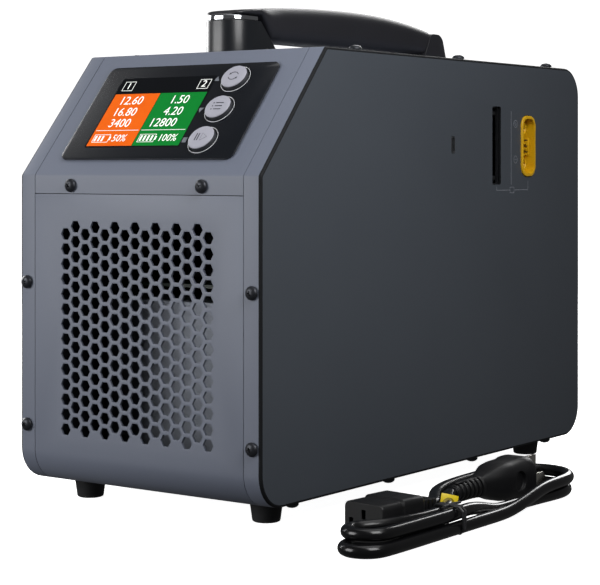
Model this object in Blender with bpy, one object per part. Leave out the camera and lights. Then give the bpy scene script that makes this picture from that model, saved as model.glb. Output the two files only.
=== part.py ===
"""Twin-output balance battery charger with a mains lead, as separate solids.

The case is two bent sheet shells, a rear panel and two side covers whose flanges lap over
them. Origin: middle of the footprint on the resting surface. +X right, -Y front, +Z up.
"""
import math

import bmesh
import bpy
from mathutils import Matrix, Vector

MM = 0.001

# Case
CASE_WIDTH = 145 * MM
CASE_LENGTH = 300 * MM
CASE_HEIGHT = 206 * MM
FOOT_HEIGHT = 10 * MM
SHEET = 1.2 * MM
GAP = 0.3 * MM
CORNER_RADIUS = 16 * MM
SLOPE_RADIUS = 2 * MM
COVER_EDGE_RADIUS = 1.2 * MM
FLANGE_WIDTH = 9.4 * MM
LIP_MARGIN = 1.8 * MM
SLOPE_RISE = 59 * MM
SLOPE_RUN = 50 * MM
FRONT_SEAM_DROP = 8.7 * MM
REAR_SEAM_RISE = 20 * MM

# Front grille and rear fan grilles: regular hexagons in offset columns
HEX_PITCH = 7.1 * MM
HEX_ACROSS = 5.1 * MM
FRONT_HEX_COLUMNS = 15
FRONT_HEX_ROWS = 14
FRONT_HEX_TOP = 27.9 * MM
REAR_HEX_MARGIN = 4.5 * MM
REAR_HEX_PITCH = 9.4 * MM
REAR_HEX_ACROSS = 7.2 * MM

# Console on the slope
OVERLAY_WIDTH = 104 * MM
OVERLAY_LENGTH = 59 * MM
OVERLAY_THICKNESS = 0.8 * MM
OVERLAY_START = 9 * MM
OVERLAY_RADIUS = 4 * MM
SCREEN_CENTRE = (-11 * MM, 38.5 * MM)
SCREEN_SIZE = (60 * MM, 46 * MM)
SCREEN_DEPTH = 6 * MM
BUTTON_X = 30.3 * MM
BUTTON_START = 20.1 * MM
BUTTON_PITCH = 18.75 * MM
BUTTON_COUNT = 3
BUTTON_RADIUS = 6.8 * MM
BUTTON_PROUD = 2.4 * MM
BUTTON_TRAVEL = 0.8 * MM
BUTTON_COLLAR = 1.2 * MM
BOARD_THICKNESS = 1.6 * MM
SWITCH_HEIGHT = 2.4 * MM
CONTROL_BOARD_DEPTH = 11 * MM

# Handle
HANDLE_WIDTH = 24 * MM
HANDLE_SETBACK = 10 * MM
HANDLE_FOOT_LENGTH = 36.3 * MM
HANDLE_FOOT_HEIGHT = 16.3 * MM
HANDLE_FOOT_TAPER = 15 * MM
HANDLE_REAR_SETBACK = 43 * MM
HANDLE_REAR_LENGTH = 28 * MM
HANDLE_REAR_TOP = 19.4 * MM
HANDLE_REAR_LEAN = 10 * MM
HANDLE_REAR_TAIL = 6.5 * MM
TRIM_THICKNESS = 2.1 * MM
TRIM_INSET = 1 * MM
GRIP_PEAK = 27.2 * MM
GRIP_PEAK_FROM_FRONT = 110 * MM
GRIP_CLEARANCE = 7 * MM
GRIP_FRONT_DROP = 0.97 * MM
GRIP_REAR_DROP = 38 * MM

# Side ports
PORT_Z_ABOVE_SLOPE = 15 * MM
POWER_FROM_REAR = 60 * MM
POWER_HEIGHT = 32.7 * MM
POWER_WIDTH = 15.2 * MM
POWER_PROUD = 0.8 * MM
POWER_DEPTH = 14 * MM
POWER_RECESS = 8 * MM
POWER_WALL = 1.5 * MM
POWER_POST_RADIUS = 3.4 * MM
POWER_POST_SPACING = 19 * MM
BALANCE_FROM_REAR = 94 * MM
BALANCE_HEIGHT = 40.6 * MM
BALANCE_WIDTH = 8.4 * MM
BALANCE_SLOT = (36.6 * MM, 5.0 * MM)
BALANCE_DEPTH = 11 * MM
BALANCE_RECESS = 8 * MM
USB_FROM_REAR = 138.2 * MM
USB_SIZE = (8.2 * MM, 3.0 * MM)
USB_DEPTH = 7 * MM
PORT_COLLAR = 1.6 * MM

# Rear: fans and mains inlet
FAN_SIZE = 60 * MM
FAN_DEPTH = 25 * MM
FAN_RIM = 1.5 * MM
FAN_TIP_CLEARANCE = 1.0 * MM
FAN_HUB = 14 * MM
FAN_BLADES = 7
FAN_SPACING = 1.4 * MM
FAN_DROP = 66 * MM
INLET_RISE = 52 * MM
INLET_FLANGE = (50 * MM, 24 * MM)
INLET_BODY = (28 * MM, 20 * MM)
INLET_DEPTH = 19 * MM
INLET_RECESS = 15 * MM
INLET_WALL = 1.8 * MM

# Inside
SUPPLY_SIZE = (114 * MM, 216 * MM, 85 * MM)
SUPPLY_FRONT = 44 * MM
SUPPLY_WALL = 1.2 * MM
SUPPLY_BLOCKS = ((-30 * MM, -60 * MM, 34 * MM, 40 * MM, 38 * MM), (28 * MM, -50 * MM, 30 * MM, 60 * MM, 45 * MM),
                 (-24 * MM, 20 * MM, 44 * MM, 50 * MM, 40 * MM), (26 * MM, 45 * MM, 36 * MM, 44 * MM, 35 * MM))
CHARGE_BOARD = (112 * MM, 200 * MM)
STANDOFF = 6 * MM
HEATSINK = (80 * MM, 120 * MM, 22 * MM)
HEATSINK_FINS = 9
FIN_THICKNESS = 2 * MM
HEATSINK_BASE = 4 * MM

# Screws and feet
SCREW_HEAD_RADIUS = 3.2 * MM
SCREW_HEAD_HEIGHT = 2.2 * MM
SCREW_SHANK_RADIUS = 1.4 * MM
SCREW_LENGTH = 6 * MM
SCREW_SIDES = 10
SCREW_INSET = 4.7 * MM
FRONT_SCREW_DROP = 51.3 * MM
FRONT_SCREW_RISE = 27.4 * MM
CONSOLE_SCREW_X = 39.5 * MM
CONSOLE_SCREW_RISE = 4.9 * MM
TOP_SCREW_ENDS = (80 * MM, 30.6 * MM)
TOP_SCREW_COUNT = 3
BOTTOM_SCREW_ENDS = (29.3 * MM, 32.6 * MM)
BOTTOM_SCREW_COUNT = 4
BELLY_SCREW = (-12 * MM, 26 * MM)
FOOT_TOP_RADIUS = 7.8 * MM
FOOT_BOTTOM_RADIUS = 6.5 * MM
FOOT_INSET = (18.8 * MM, 29 * MM)
FOOT_STEM_RADIUS = 2.5 * MM
FOOT_STEM_LENGTH = 3 * MM

# Mains lead, lying on the surface beside the case
CORD_DIAMETER = 5.8 * MM
HANK_LAYERS = 2
CONNECTOR_AT = (113.5 * MM, -131 * MM)
CONNECTOR_TURN = math.radians(-6)
CONNECTOR_BODY = (23 * MM, 30 * MM, 17 * MM)
CONNECTOR_RELIEF = 17 * MM
PLUG_AT = (115 * MM, -60 * MM)
PLUG_RELIEF = 24 * MM
PLUG_BODY = (22 * MM, 38 * MM, 20 * MM)
BLADE = (1.6 * MM, 18 * MM, 6.3 * MM)
BLADE_SPACING = 5.6 * MM
HANK_FOLD = (130.1 * MM, -153.6 * MM, 12.7 * MM)
HANK_LOOP = (118.8 * MM, 6 * MM, 24.1 * MM, 28.2 * MM)
HANK_FAR_SIDE = ((96.6 * MM, -40 * MM), (100.4 * MM, -56 * MM), (107 * MM, -68.5 * MM), (111.5 * MM, -77 * MM))
HANK_NEAR_SIDE = ((128.4 * MM, -94 * MM), (128.5 * MM, -110 * MM), (126.6 * MM, -129 * MM),
                  (124.6 * MM, -134.6 * MM))
TIE_Y = -96.5 * MM
TIE_SPAN = (128.5 * MM, 142.8 * MM)
TIE_WIDTH = 3 * MM
TIE_THICKNESS = 1.0 * MM
TAG_SIZE = (8 * MM, 14 * MM, 2 * MM)
TAG_AT = (122 * MM, -73 * MM)

BODY_BOTTOM = FOOT_HEIGHT
BODY_TOP = FOOT_HEIGHT + CASE_HEIGHT
SLOPE_Z = BODY_TOP - SLOPE_RISE
FRONT = -CASE_LENGTH / 2
REAR = CASE_LENGTH / 2
SIDE = CASE_WIDTH / 2
PORT_Z = SLOPE_Z + PORT_Z_ABOVE_SLOPE
POWER_Y = REAR - POWER_FROM_REAR
BALANCE_Y = REAR - BALANCE_FROM_REAR
USB_Y = REAR - USB_FROM_REAR
HANDLE_FRONT_Y = FRONT + SLOPE_RUN + HANDLE_SETBACK
HANDLE_REAR_Y = REAR - HANDLE_REAR_SETBACK
GRIP_PEAK_Y = HANDLE_FRONT_Y + GRIP_PEAK_FROM_FRONT
FAN_BORE = FAN_SIZE / 2 - FAN_RIM
FAN_X = (FAN_SIZE + FAN_SPACING) / 2
FAN_Z = BODY_TOP - FAN_DROP
REAR_HEX_RADIUS = FAN_BORE - REAR_HEX_MARGIN
INLET_Z = BODY_BOTTOM + INLET_RISE
HANK_HEIGHT = HANK_LAYERS * CORD_DIAMETER


def clear_scene():
    for obj in list(bpy.data.objects):
        bpy.data.objects.remove(obj, do_unlink=True)


def material(name, colour, roughness, metallic=0.0):
    mat = bpy.data.materials.new(name)
    mat.use_nodes = True
    shader = mat.node_tree.nodes["Principled BSDF"]
    shader.inputs["Base Color"].default_value = (*colour, 1.0)
    shader.inputs["Roughness"].default_value = roughness
    shader.inputs["Metallic"].default_value = metallic
    return mat


def add_object(name, bm, mat, parent=None, smooth=True):
    """Turn a bmesh into a named object with outward faces."""
    bmesh.ops.remove_doubles(bm, verts=bm.verts, dist=1e-6)
    bmesh.ops.recalc_face_normals(bm, faces=bm.faces)
    mesh = bpy.data.meshes.new(name)
    bm.to_mesh(mesh)
    bm.free()
    if smooth:
        mesh.shade_smooth()
        mesh.set_sharp_from_angle(angle=math.radians(32))
    if mat:
        mesh.materials.append(mat)
    obj = bpy.data.objects.new(name, mesh)
    bpy.context.scene.collection.objects.link(obj)
    obj.parent = parent
    return obj


def loft(rings, caps=True):
    """Skin equal rings of points; the first and last ring are closed with a face."""
    bm = bmesh.new()
    skins = [[bm.verts.new(point) for point in ring] for ring in rings]
    count = len(skins[0])
    for lower, upper in zip(skins, skins[1:]):
        for i in range(count):
            j = (i + 1) % count
            bm.faces.new((lower[i], lower[j], upper[j], upper[i]))
    if caps:
        bm.faces.new(list(reversed(skins[0])))
        bm.faces.new(skins[-1])
    return bm


def box_mesh(size, centre=(0, 0, 0), bevel=0.0, segments=2):
    bm = bmesh.new()
    bmesh.ops.create_cube(bm, size=1.0)
    bmesh.ops.scale(bm, vec=size, verts=bm.verts)
    bmesh.ops.translate(bm, vec=centre, verts=bm.verts)
    if bevel:
        bmesh.ops.bevel(bm, geom=bm.edges[:], offset=bevel, segments=segments, profile=0.5,
                        affect="EDGES", material=-1)
    return bm


def turned(profile, sides, start=0.0):
    """Closed solid turned about Z from (radius, z) points, first and last rings flat."""
    rings = []
    for radius, z in profile:
        ring = []
        for i in range(sides):
            angle = start + math.tau * i / sides
            ring.append((radius * math.cos(angle), radius * math.sin(angle), z))
        rings.append(ring)
    return loft(rings)


def cutter(name, bm, parent=None):
    obj = add_object(name, bm, None, parent, smooth=False)
    obj.hide_render = True
    obj.display_type = "WIRE"
    return obj


def boolean(obj, tool, operation):
    mod = obj.modifiers.new(tool.name, "BOOLEAN")
    mod.operation = operation
    mod.solver = "EXACT"
    mod.object = tool


def placed(bm, matrix):
    bmesh.ops.transform(bm, matrix=matrix, verts=bm.verts)
    return bm


def merged(meshes):
    """One bmesh holding copies of several, for a cutter or a union with many parts."""
    total = bmesh.new()
    for bm in meshes:
        mesh = bpy.data.meshes.new("part")
        bm.to_mesh(mesh)
        bm.free()
        total.from_mesh(mesh)
        bpy.data.meshes.remove(mesh)
    return total


# ---------------------------------------------------------------- outlines

def fillet(before, corner, after, radius, segments):
    """Points of the arc that rounds one corner of a 2-D path."""
    corner = Vector(corner)
    to_before = (Vector(before) - corner).normalized()
    to_after = (Vector(after) - corner).normalized()
    half = to_before.angle(to_after) / 2
    reach = radius / math.tan(half)
    centre = corner + (to_before + to_after).normalized() * (radius / math.sin(half))
    start = corner + to_before * reach - centre
    end = corner + to_after * reach - centre
    turn = math.atan2(start.x * end.y - start.y * end.x, start.dot(end))
    points = []
    for i in range(segments + 1):
        angle = turn * i / segments
        cos, sin = math.cos(angle), math.sin(angle)
        points.append(centre + Vector((start.x * cos - start.y * sin, start.x * sin + start.y * cos)))
    return points


def inset_corner(before, corner, after, inset):
    """A corner of a counter-clockwise path moved inwards by a wall thickness."""
    first = (Vector(corner) - Vector(before)).normalized()
    second = (Vector(after) - Vector(corner)).normalized()
    normals = [Vector((-edge.y, edge.x)) for edge in (first, second)]
    bisector = (normals[0] + normals[1]).normalized()
    return Vector(corner) + bisector * (inset / bisector.dot(normals[0]))


def closed_outline(corners, radii, inset=0.0, segments=6):
    """Rounded closed outline, counter-clockwise, every edge moved inwards by the inset."""
    count = len(corners)
    moved = [inset_corner(corners[i - 1], corners[i], corners[(i + 1) % count], inset)
             for i in range(count)]
    points = []
    for i in range(count):
        radius = max(radii[i] - inset, 0.0002)
        points += fillet(moved[i - 1], moved[i], moved[(i + 1) % count], radius,
                         segments if radii[i] > 0.004 else 3)
    return points


def open_path(corners, radii, inset=0.0, segments=6):
    """Rounded open path whose two ends stay square to their straight stretch."""
    first = (Vector(corners[1]) - Vector(corners[0])).normalized()
    last = (Vector(corners[-1]) - Vector(corners[-2])).normalized()
    moved = [Vector(corners[0]) + Vector((-first.y, first.x)) * inset]
    for i in range(1, len(corners) - 1):
        moved.append(inset_corner(corners[i - 1], corners[i], corners[i + 1], inset))
    moved.append(Vector(corners[-1]) + Vector((-last.y, last.x)) * inset)
    points = [moved[0]]
    for i in range(1, len(corners) - 1):
        radius = max(radii[i - 1] - inset, 0.0002)
        points += fillet(moved[i - 1], moved[i], moved[i + 1], radius,
                         segments if radii[i - 1] > 0.004 else 3)
    points.append(moved[-1])
    return points


def rounded_rectangle(width, height, radius, segments=4):
    corners = [(-width / 2, -height / 2), (width / 2, -height / 2),
               (width / 2, height / 2), (-width / 2, height / 2)]
    points = []
    for i in range(4):
        points += fillet(corners[i - 1], corners[i], corners[(i + 1) % 4], radius, segments)
    return points


def prism(outline, low, high):
    return loft([[(p[0], p[1], z) for p in outline] for z in (low, high)])


def case_corners():
    """Side profile (y, z) of the whole case, counter-clockwise seen from the right."""
    return [(FRONT, BODY_BOTTOM), (REAR, BODY_BOTTOM), (REAR, BODY_TOP),
            (FRONT + SLOPE_RUN, BODY_TOP), (FRONT, SLOPE_Z)]


CASE_RADII = [CORNER_RADIUS, CORNER_RADIUS, CORNER_RADIUS, SLOPE_RADIUS, SLOPE_RADIUS]


# ---------------------------------------------------------------- case

def sheet_shell(name, corners, radii, mat):
    """Bent sheet with joggled side lips that pass under the side covers' flanges."""
    middle = SIDE - FLANGE_WIDTH - GAP
    inner = middle - LIP_MARGIN
    edge = SIDE - SHEET - GAP
    lip_outer = SHEET + GAP
    lip_inner = 2 * SHEET + GAP
    section = [(-edge, lip_outer), (-middle, lip_outer), (-middle, 0.0), (middle, 0.0),
               (middle, lip_outer), (edge, lip_outer), (edge, lip_inner), (inner, lip_inner),
               (inner, SHEET), (-inner, SHEET), (-inner, lip_inner), (-edge, lip_inner)]
    paths = {inset: open_path(corners, radii, inset) for _, inset in section}
    count = len(paths[0.0])
    rings = []
    for i in range(count):
        rings.append([(x, paths[inset][i].x, paths[inset][i].y) for x, inset in section])
    return add_object(name, loft(rings), mat)


def side_cover(name, sign, mat):
    """Pressed tray: a side plate with a flange that laps over the shells all round."""
    radii = CASE_RADII
    stations = []
    steps = 3
    for k in range(steps + 1):
        angle = math.pi / 2 * k / steps
        stations.append((SIDE - COVER_EDGE_RADIUS * (1 - math.cos(angle)),
                         COVER_EDGE_RADIUS * (1 - math.sin(angle))))
    stations.append((SIDE - FLANGE_WIDTH, 0.0))
    stations.append((SIDE - FLANGE_WIDTH, SHEET))
    stations.append((SIDE - SHEET, SHEET))
    rings = []
    for x, inset in stations:
        outline = closed_outline(case_corners(), radii, inset)
        rings.append([(sign * x, p.x, p.y) for p in outline])
    return add_object(name, loft(rings), mat)


def hexagon(x, z, across, low, high):
    radius = across / math.sqrt(3)
    rings = []
    for y in (low, high):
        rings.append([(x + radius * math.cos(math.tau * k / 6), y, z + radius * math.sin(math.tau * k / 6))
                      for k in range(6)])
    return loft(rings)


def front_hex_cutter():
    column_pitch = HEX_PITCH * math.sqrt(3) / 2
    top = SLOPE_Z - FRONT_HEX_TOP
    holes = []
    for column in range(FRONT_HEX_COLUMNS):
        x = (column - (FRONT_HEX_COLUMNS - 1) / 2) * column_pitch
        lift = HEX_PITCH / 2 if column % 2 else 0.0
        for row in range(FRONT_HEX_ROWS):
            holes.append(hexagon(x, top + lift - row * HEX_PITCH, HEX_ACROSS, FRONT - SHEET, FRONT + 2 * SHEET))
    return cutter("cut_front_grille", merged(holes))


def rear_hex_cutter():
    column_pitch = REAR_HEX_PITCH * math.sqrt(3) / 2
    reach = int(REAR_HEX_RADIUS / column_pitch) + 1
    holes = []
    for sign in (-1, 1):
        for column in range(-reach, reach + 1):
            lift = REAR_HEX_PITCH / 2 if column % 2 else 0.0
            for row in range(-reach, reach + 1):
                x, z = column * column_pitch, row * REAR_HEX_PITCH + lift
                if math.hypot(x, z) <= REAR_HEX_RADIUS:
                    holes.append(hexagon(sign * FAN_X + x, FAN_Z + z, REAR_HEX_ACROSS,
                                         REAR - 2 * SHEET, REAR + SHEET))
    return cutter("cut_rear_grilles", merged(holes))


def spread(first, last, count):
    """Evenly spaced values from first to last."""
    return [first + (last - first) * i / (count - 1) for i in range(count)]


def screw_places():
    """Every case screw: name, point on the outer surface and outward direction."""
    top = spread(FRONT + TOP_SCREW_ENDS[0], REAR - TOP_SCREW_ENDS[1], TOP_SCREW_COUNT)
    bottom = spread(FRONT + BOTTOM_SCREW_ENDS[0], REAR - BOTTOM_SCREW_ENDS[1], BOTTOM_SCREW_COUNT)
    front = (SLOPE_Z - FRONT_SCREW_DROP, BODY_BOTTOM + FRONT_SCREW_RISE)
    places = []
    for side, sign in (("left", -1), ("right", 1)):
        x = sign * (SIDE - SCREW_INSET)
        for i, z in enumerate(front):
            places.append((f"screw_front_{side}_{i + 1}", (x, FRONT, z), (0, -1, 0)))
        for i, y in enumerate(top):
            places.append((f"screw_top_{side}_{i + 1}", (x, y, BODY_TOP), (0, 0, 1)))
        for i, y in enumerate(bottom):
            places.append((f"screw_bottom_{side}_{i + 1}", (x, y, BODY_BOTTOM), (0, 0, -1)))
        places.append((f"screw_console_{side}", (sign * CONSOLE_SCREW_X, FRONT, SLOPE_Z - CONSOLE_SCREW_RISE),
                       (0, -1, 0)))
    places.append(("screw_belly", (BELLY_SCREW[0], FRONT + BELLY_SCREW[1], BODY_BOTTOM), (0, 0, -1)))
    return places


def facing(point, direction):
    """Matrix that puts local +Z along a direction at a point."""
    return Matrix.Translation(point) @ Vector((0, 0, 1)).rotation_difference(Vector(direction)).to_matrix().to_4x4()


def screw_cutter():
    holes = []
    radius = SCREW_SHANK_RADIUS + GAP
    for _, point, direction in screw_places():
        hole = turned([(radius, -4 * SHEET), (radius, 2 * SHEET)], SCREW_SIDES)
        holes.append(placed(hole, facing(point, direction)))
    return cutter("cut_screw_holes", merged(holes))


def add_screws(mat):
    head = SCREW_HEAD_RADIUS
    profile = [(SCREW_SHANK_RADIUS, -SCREW_LENGTH), (SCREW_SHANK_RADIUS, GAP), (head, GAP),
               (head * 0.94, GAP + SCREW_HEAD_HEIGHT * 0.55), (head * 0.6, GAP + SCREW_HEAD_HEIGHT)]
    for name, point, direction in screw_places():
        add_object(name, placed(turned(profile, SCREW_SIDES), facing(point, direction)), mat)


def foot_places():
    places = []
    for side, sx in (("left", -1), ("right", 1)):
        for end, sy in (("front", -1), ("rear", 1)):
            places.append((f"foot_{end}_{side}", sx * (SIDE - FOOT_INSET[0]), sy * (REAR - FOOT_INSET[1])))
    return places


def add_feet(mat):
    top = FOOT_HEIGHT - GAP
    profile = [(FOOT_BOTTOM_RADIUS - 0.6 * MM, 0), (FOOT_BOTTOM_RADIUS, 0.6 * MM), (FOOT_TOP_RADIUS, top),
               (FOOT_STEM_RADIUS, top), (FOOT_STEM_RADIUS, top + FOOT_STEM_LENGTH)]
    for name, x, y in foot_places():
        add_object(name, placed(turned(profile, 20), Matrix.Translation((x, y, 0))), mat)


def foot_hole_cutter():
    holes = []
    radius = FOOT_STEM_RADIUS + GAP
    for _, x, y in foot_places():
        hole = turned([(radius, BODY_BOTTOM - SHEET), (radius, BODY_BOTTOM + 3 * SHEET)], 12)
        holes.append(placed(hole, Matrix.Translation((x, y, 0))))
    return cutter("cut_foot_holes", merged(holes))


def side_matrix(sign, y, z):
    """Port frame on a side cover: local X runs along the case, Y up, Z outwards."""
    axes = Matrix(((0, 0, sign), (sign, 0, 0), (0, 1, 0)))
    return Matrix.Translation((sign * SIDE, y, z)) @ axes.to_4x4()


def rear_matrix(x, z):
    """Frame on the rear panel: local X to the left, Y up, Z outwards."""
    axes = Matrix(((-1, 0, 0), (0, 0, 1), (0, 1, 0)))
    return Matrix.Translation((x, REAR, z)) @ axes.to_4x4()


def port_cutter(name, outlines):
    """Clearance holes through a panel for a list of (outline, matrix)."""
    holes = [placed(prism(outline, -4 * SHEET, 3 * SHEET), matrix) for outline, matrix in outlines]
    return cutter(name, merged(holes))


def power_outline(grow=0.0):
    radius = POWER_WIDTH * 0.38
    return rounded_rectangle(POWER_WIDTH + 2 * grow, POWER_HEIGHT + 2 * grow, radius + grow)


def balance_outline(grow=0.0):
    return rounded_rectangle(BALANCE_WIDTH + 2 * grow, BALANCE_HEIGHT + 2 * grow, 0.8 * MM + grow, 2)


def usb_outline(grow=0.0):
    return rounded_rectangle(USB_SIZE[1] + 2 * grow, USB_SIZE[0] + 2 * grow, 0.8 * MM + grow, 3)


def add_case(paint, dark_paint):
    seam = SLOPE_Z - FRONT_SEAM_DROP
    rear_low = BODY_BOTTOM + REAR_SEAM_RISE
    rear_high = BODY_TOP - REAR_SEAM_RISE
    lower = sheet_shell("lower_shell", [(FRONT, seam - GAP), (FRONT, BODY_BOTTOM), (REAR, BODY_BOTTOM),
                                        (REAR, rear_low)], [CORNER_RADIUS, CORNER_RADIUS], paint)
    upper = sheet_shell("upper_shell", [(REAR, rear_high), (REAR, BODY_TOP), (FRONT + SLOPE_RUN, BODY_TOP),
                                        (FRONT, SLOPE_Z), (FRONT, seam)],
                        [CORNER_RADIUS, SLOPE_RADIUS, SLOPE_RADIUS], paint)
    panel = sheet_shell("rear_panel", [(REAR, rear_low + GAP), (REAR, rear_high - GAP)], [], dark_paint)
    left = side_cover("side_cover_left", -1, dark_paint)
    right = side_cover("side_cover_right", 1, dark_paint)

    screws = screw_cutter()
    for obj in (lower, upper, left, right):
        boolean(obj, screws, "DIFFERENCE")
    boolean(lower, foot_hole_cutter(), "DIFFERENCE")
    boolean(lower, front_hex_cutter(), "DIFFERENCE")
    boolean(panel, rear_hex_cutter(), "DIFFERENCE")
    inlet = rounded_rectangle(INLET_BODY[0] + 2 * GAP, INLET_BODY[1] + 2 * GAP, 2 * MM)
    boolean(panel, port_cutter("cut_inlet", [(inlet, rear_matrix(0, INLET_Z))]), "DIFFERENCE")
    for obj, sign in ((left, -1), (right, 1)):
        outlines = [(power_outline(GAP), side_matrix(sign, POWER_Y, PORT_Z)),
                    (balance_outline(GAP), side_matrix(sign, BALANCE_Y, PORT_Z))]
        if sign > 0:
            outlines.append((usb_outline(GAP), side_matrix(sign, USB_Y, PORT_Z)))
        boolean(obj, port_cutter(f"cut_ports_{obj.name}", outlines), "DIFFERENCE")
    return upper


# ---------------------------------------------------------------- console

def console_frame():
    """Empty on the slope: local X right, Y up the slope, Z out of the face."""
    empty = bpy.data.objects.new("console_frame", None)
    bpy.context.scene.collection.objects.link(empty)
    empty.location = (0, FRONT, SLOPE_Z)
    empty.rotation_euler = (math.atan2(SLOPE_RISE, SLOPE_RUN), 0, 0)
    return empty


def button_places():
    return [(BUTTON_X, BUTTON_START + i * BUTTON_PITCH) for i in range(BUTTON_COUNT)]


def add_console(upper, glass, board_mat, cap_mat, screen_mat):
    frame = console_frame()
    hole_radius = BUTTON_RADIUS + 2 * GAP

    def button_holes(name, low, high):
        tubes = []
        for x, y in button_places():
            tubes.append(placed(turned([(hole_radius, low), (hole_radius, high)], 20),
                                Matrix.Translation((x, y, 0))))
        return cutter(name, merged(tubes), frame)

    window = rounded_rectangle(SCREEN_SIZE[0] + 2 * GAP, SCREEN_SIZE[1] + 2 * GAP, 1 * MM, 2)
    window_hole = placed(prism(window, -2 * SHEET, SHEET), Matrix.Translation((*SCREEN_CENTRE, 0)))
    boolean(upper, cutter("cut_window", window_hole, frame), "DIFFERENCE")
    boolean(upper, button_holes("cut_button_holes", -2 * SHEET, 2 * SHEET), "DIFFERENCE")

    low, high = GAP, GAP + OVERLAY_THICKNESS
    outline = rounded_rectangle(OVERLAY_WIDTH, OVERLAY_LENGTH, OVERLAY_RADIUS, 5)
    plate = placed(prism(outline, low, high), Matrix.Translation((0, OVERLAY_START + OVERLAY_LENGTH / 2, 0)))
    overlay = add_object("console_overlay", plate, glass, frame)
    boolean(overlay, button_holes("cut_overlay_holes", -SHEET, 2 * SHEET), "DIFFERENCE")

    screen = box_mesh((*SCREEN_SIZE, SCREEN_DEPTH), (*SCREEN_CENTRE, -SCREEN_DEPTH / 2))
    add_object("display_module", screen, screen_mat, frame)

    board_top = -CONTROL_BOARD_DEPTH
    centre_y = OVERLAY_START + OVERLAY_LENGTH / 2
    board = add_object("control_board", box_mesh((OVERLAY_WIDTH, OVERLAY_LENGTH, BOARD_THICKNESS),
                                                 (0, centre_y, board_top - BOARD_THICKNESS / 2)),
                       board_mat, frame)
    parts = []
    for x, y in button_places():
        parts.append(box_mesh((6 * MM, 6 * MM, SWITCH_HEIGHT + 0.5 * MM),
                              (x, y, board_top + (SWITCH_HEIGHT - 0.5 * MM) / 2)))
    post_top = -SHEET - GAP
    for sx in (-1, 1):
        for sy in (-1, 1):
            height = post_top - board_top + 0.5 * MM
            parts.append(box_mesh((5 * MM, 5 * MM, height),
                                  (sx * (OVERLAY_WIDTH / 2 - 4 * MM),
                                   centre_y + sy * (OVERLAY_LENGTH / 2 - 4 * MM), post_top - height / 2)))
    cradle_top = -SCREEN_DEPTH - GAP
    height = cradle_top - board_top + 0.5 * MM
    parts.append(box_mesh((SCREEN_SIZE[0] * 0.8, SCREEN_SIZE[1] * 0.6, height),
                          (*SCREEN_CENTRE, cradle_top - height / 2)))
    boolean(board, cutter("join_board_parts", merged(parts), frame), "UNION")

    rest = board_top + SWITCH_HEIGHT + BUTTON_TRAVEL + GAP
    collar_top = -SHEET - GAP
    face = high + BUTTON_PROUD
    profile = [(2.2 * MM, rest), (2.2 * MM, collar_top - BUTTON_COLLAR),
               (BUTTON_RADIUS + BUTTON_COLLAR, collar_top - BUTTON_COLLAR),
               (BUTTON_RADIUS + BUTTON_COLLAR, collar_top), (BUTTON_RADIUS, collar_top),
               (BUTTON_RADIUS, face - 0.5 * MM), (BUTTON_RADIUS - 0.5 * MM, face)]
    for i, (x, y) in enumerate(button_places()):
        button = add_object(f"button_{i + 1}", turned(profile, 20), cap_mat, frame)
        button.location = (x, y, 0)


# ---------------------------------------------------------------- handle

def handle_plan(front, rear, half_width, nose):
    """Plan outline of the foot: round nose in front, square with small radii behind."""
    corners = [(-half_width, front), (half_width, front), (half_width, rear), (-half_width, rear)]
    radii = [nose, nose, 1.5 * MM, 1.5 * MM]
    points = []
    for i in range(4):
        points += fillet(corners[i - 1], corners[i], corners[(i + 1) % 4], radii[i], 6)
    return points


def grip_top(y):
    drop = GRIP_FRONT_DROP * ((y - GRIP_PEAK_Y) / (42 * MM)) ** 2 if y < GRIP_PEAK_Y else (
        GRIP_REAR_DROP * ((y - GRIP_PEAK_Y) / (150 * MM)) ** 2)
    return GRIP_PEAK - drop


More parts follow.
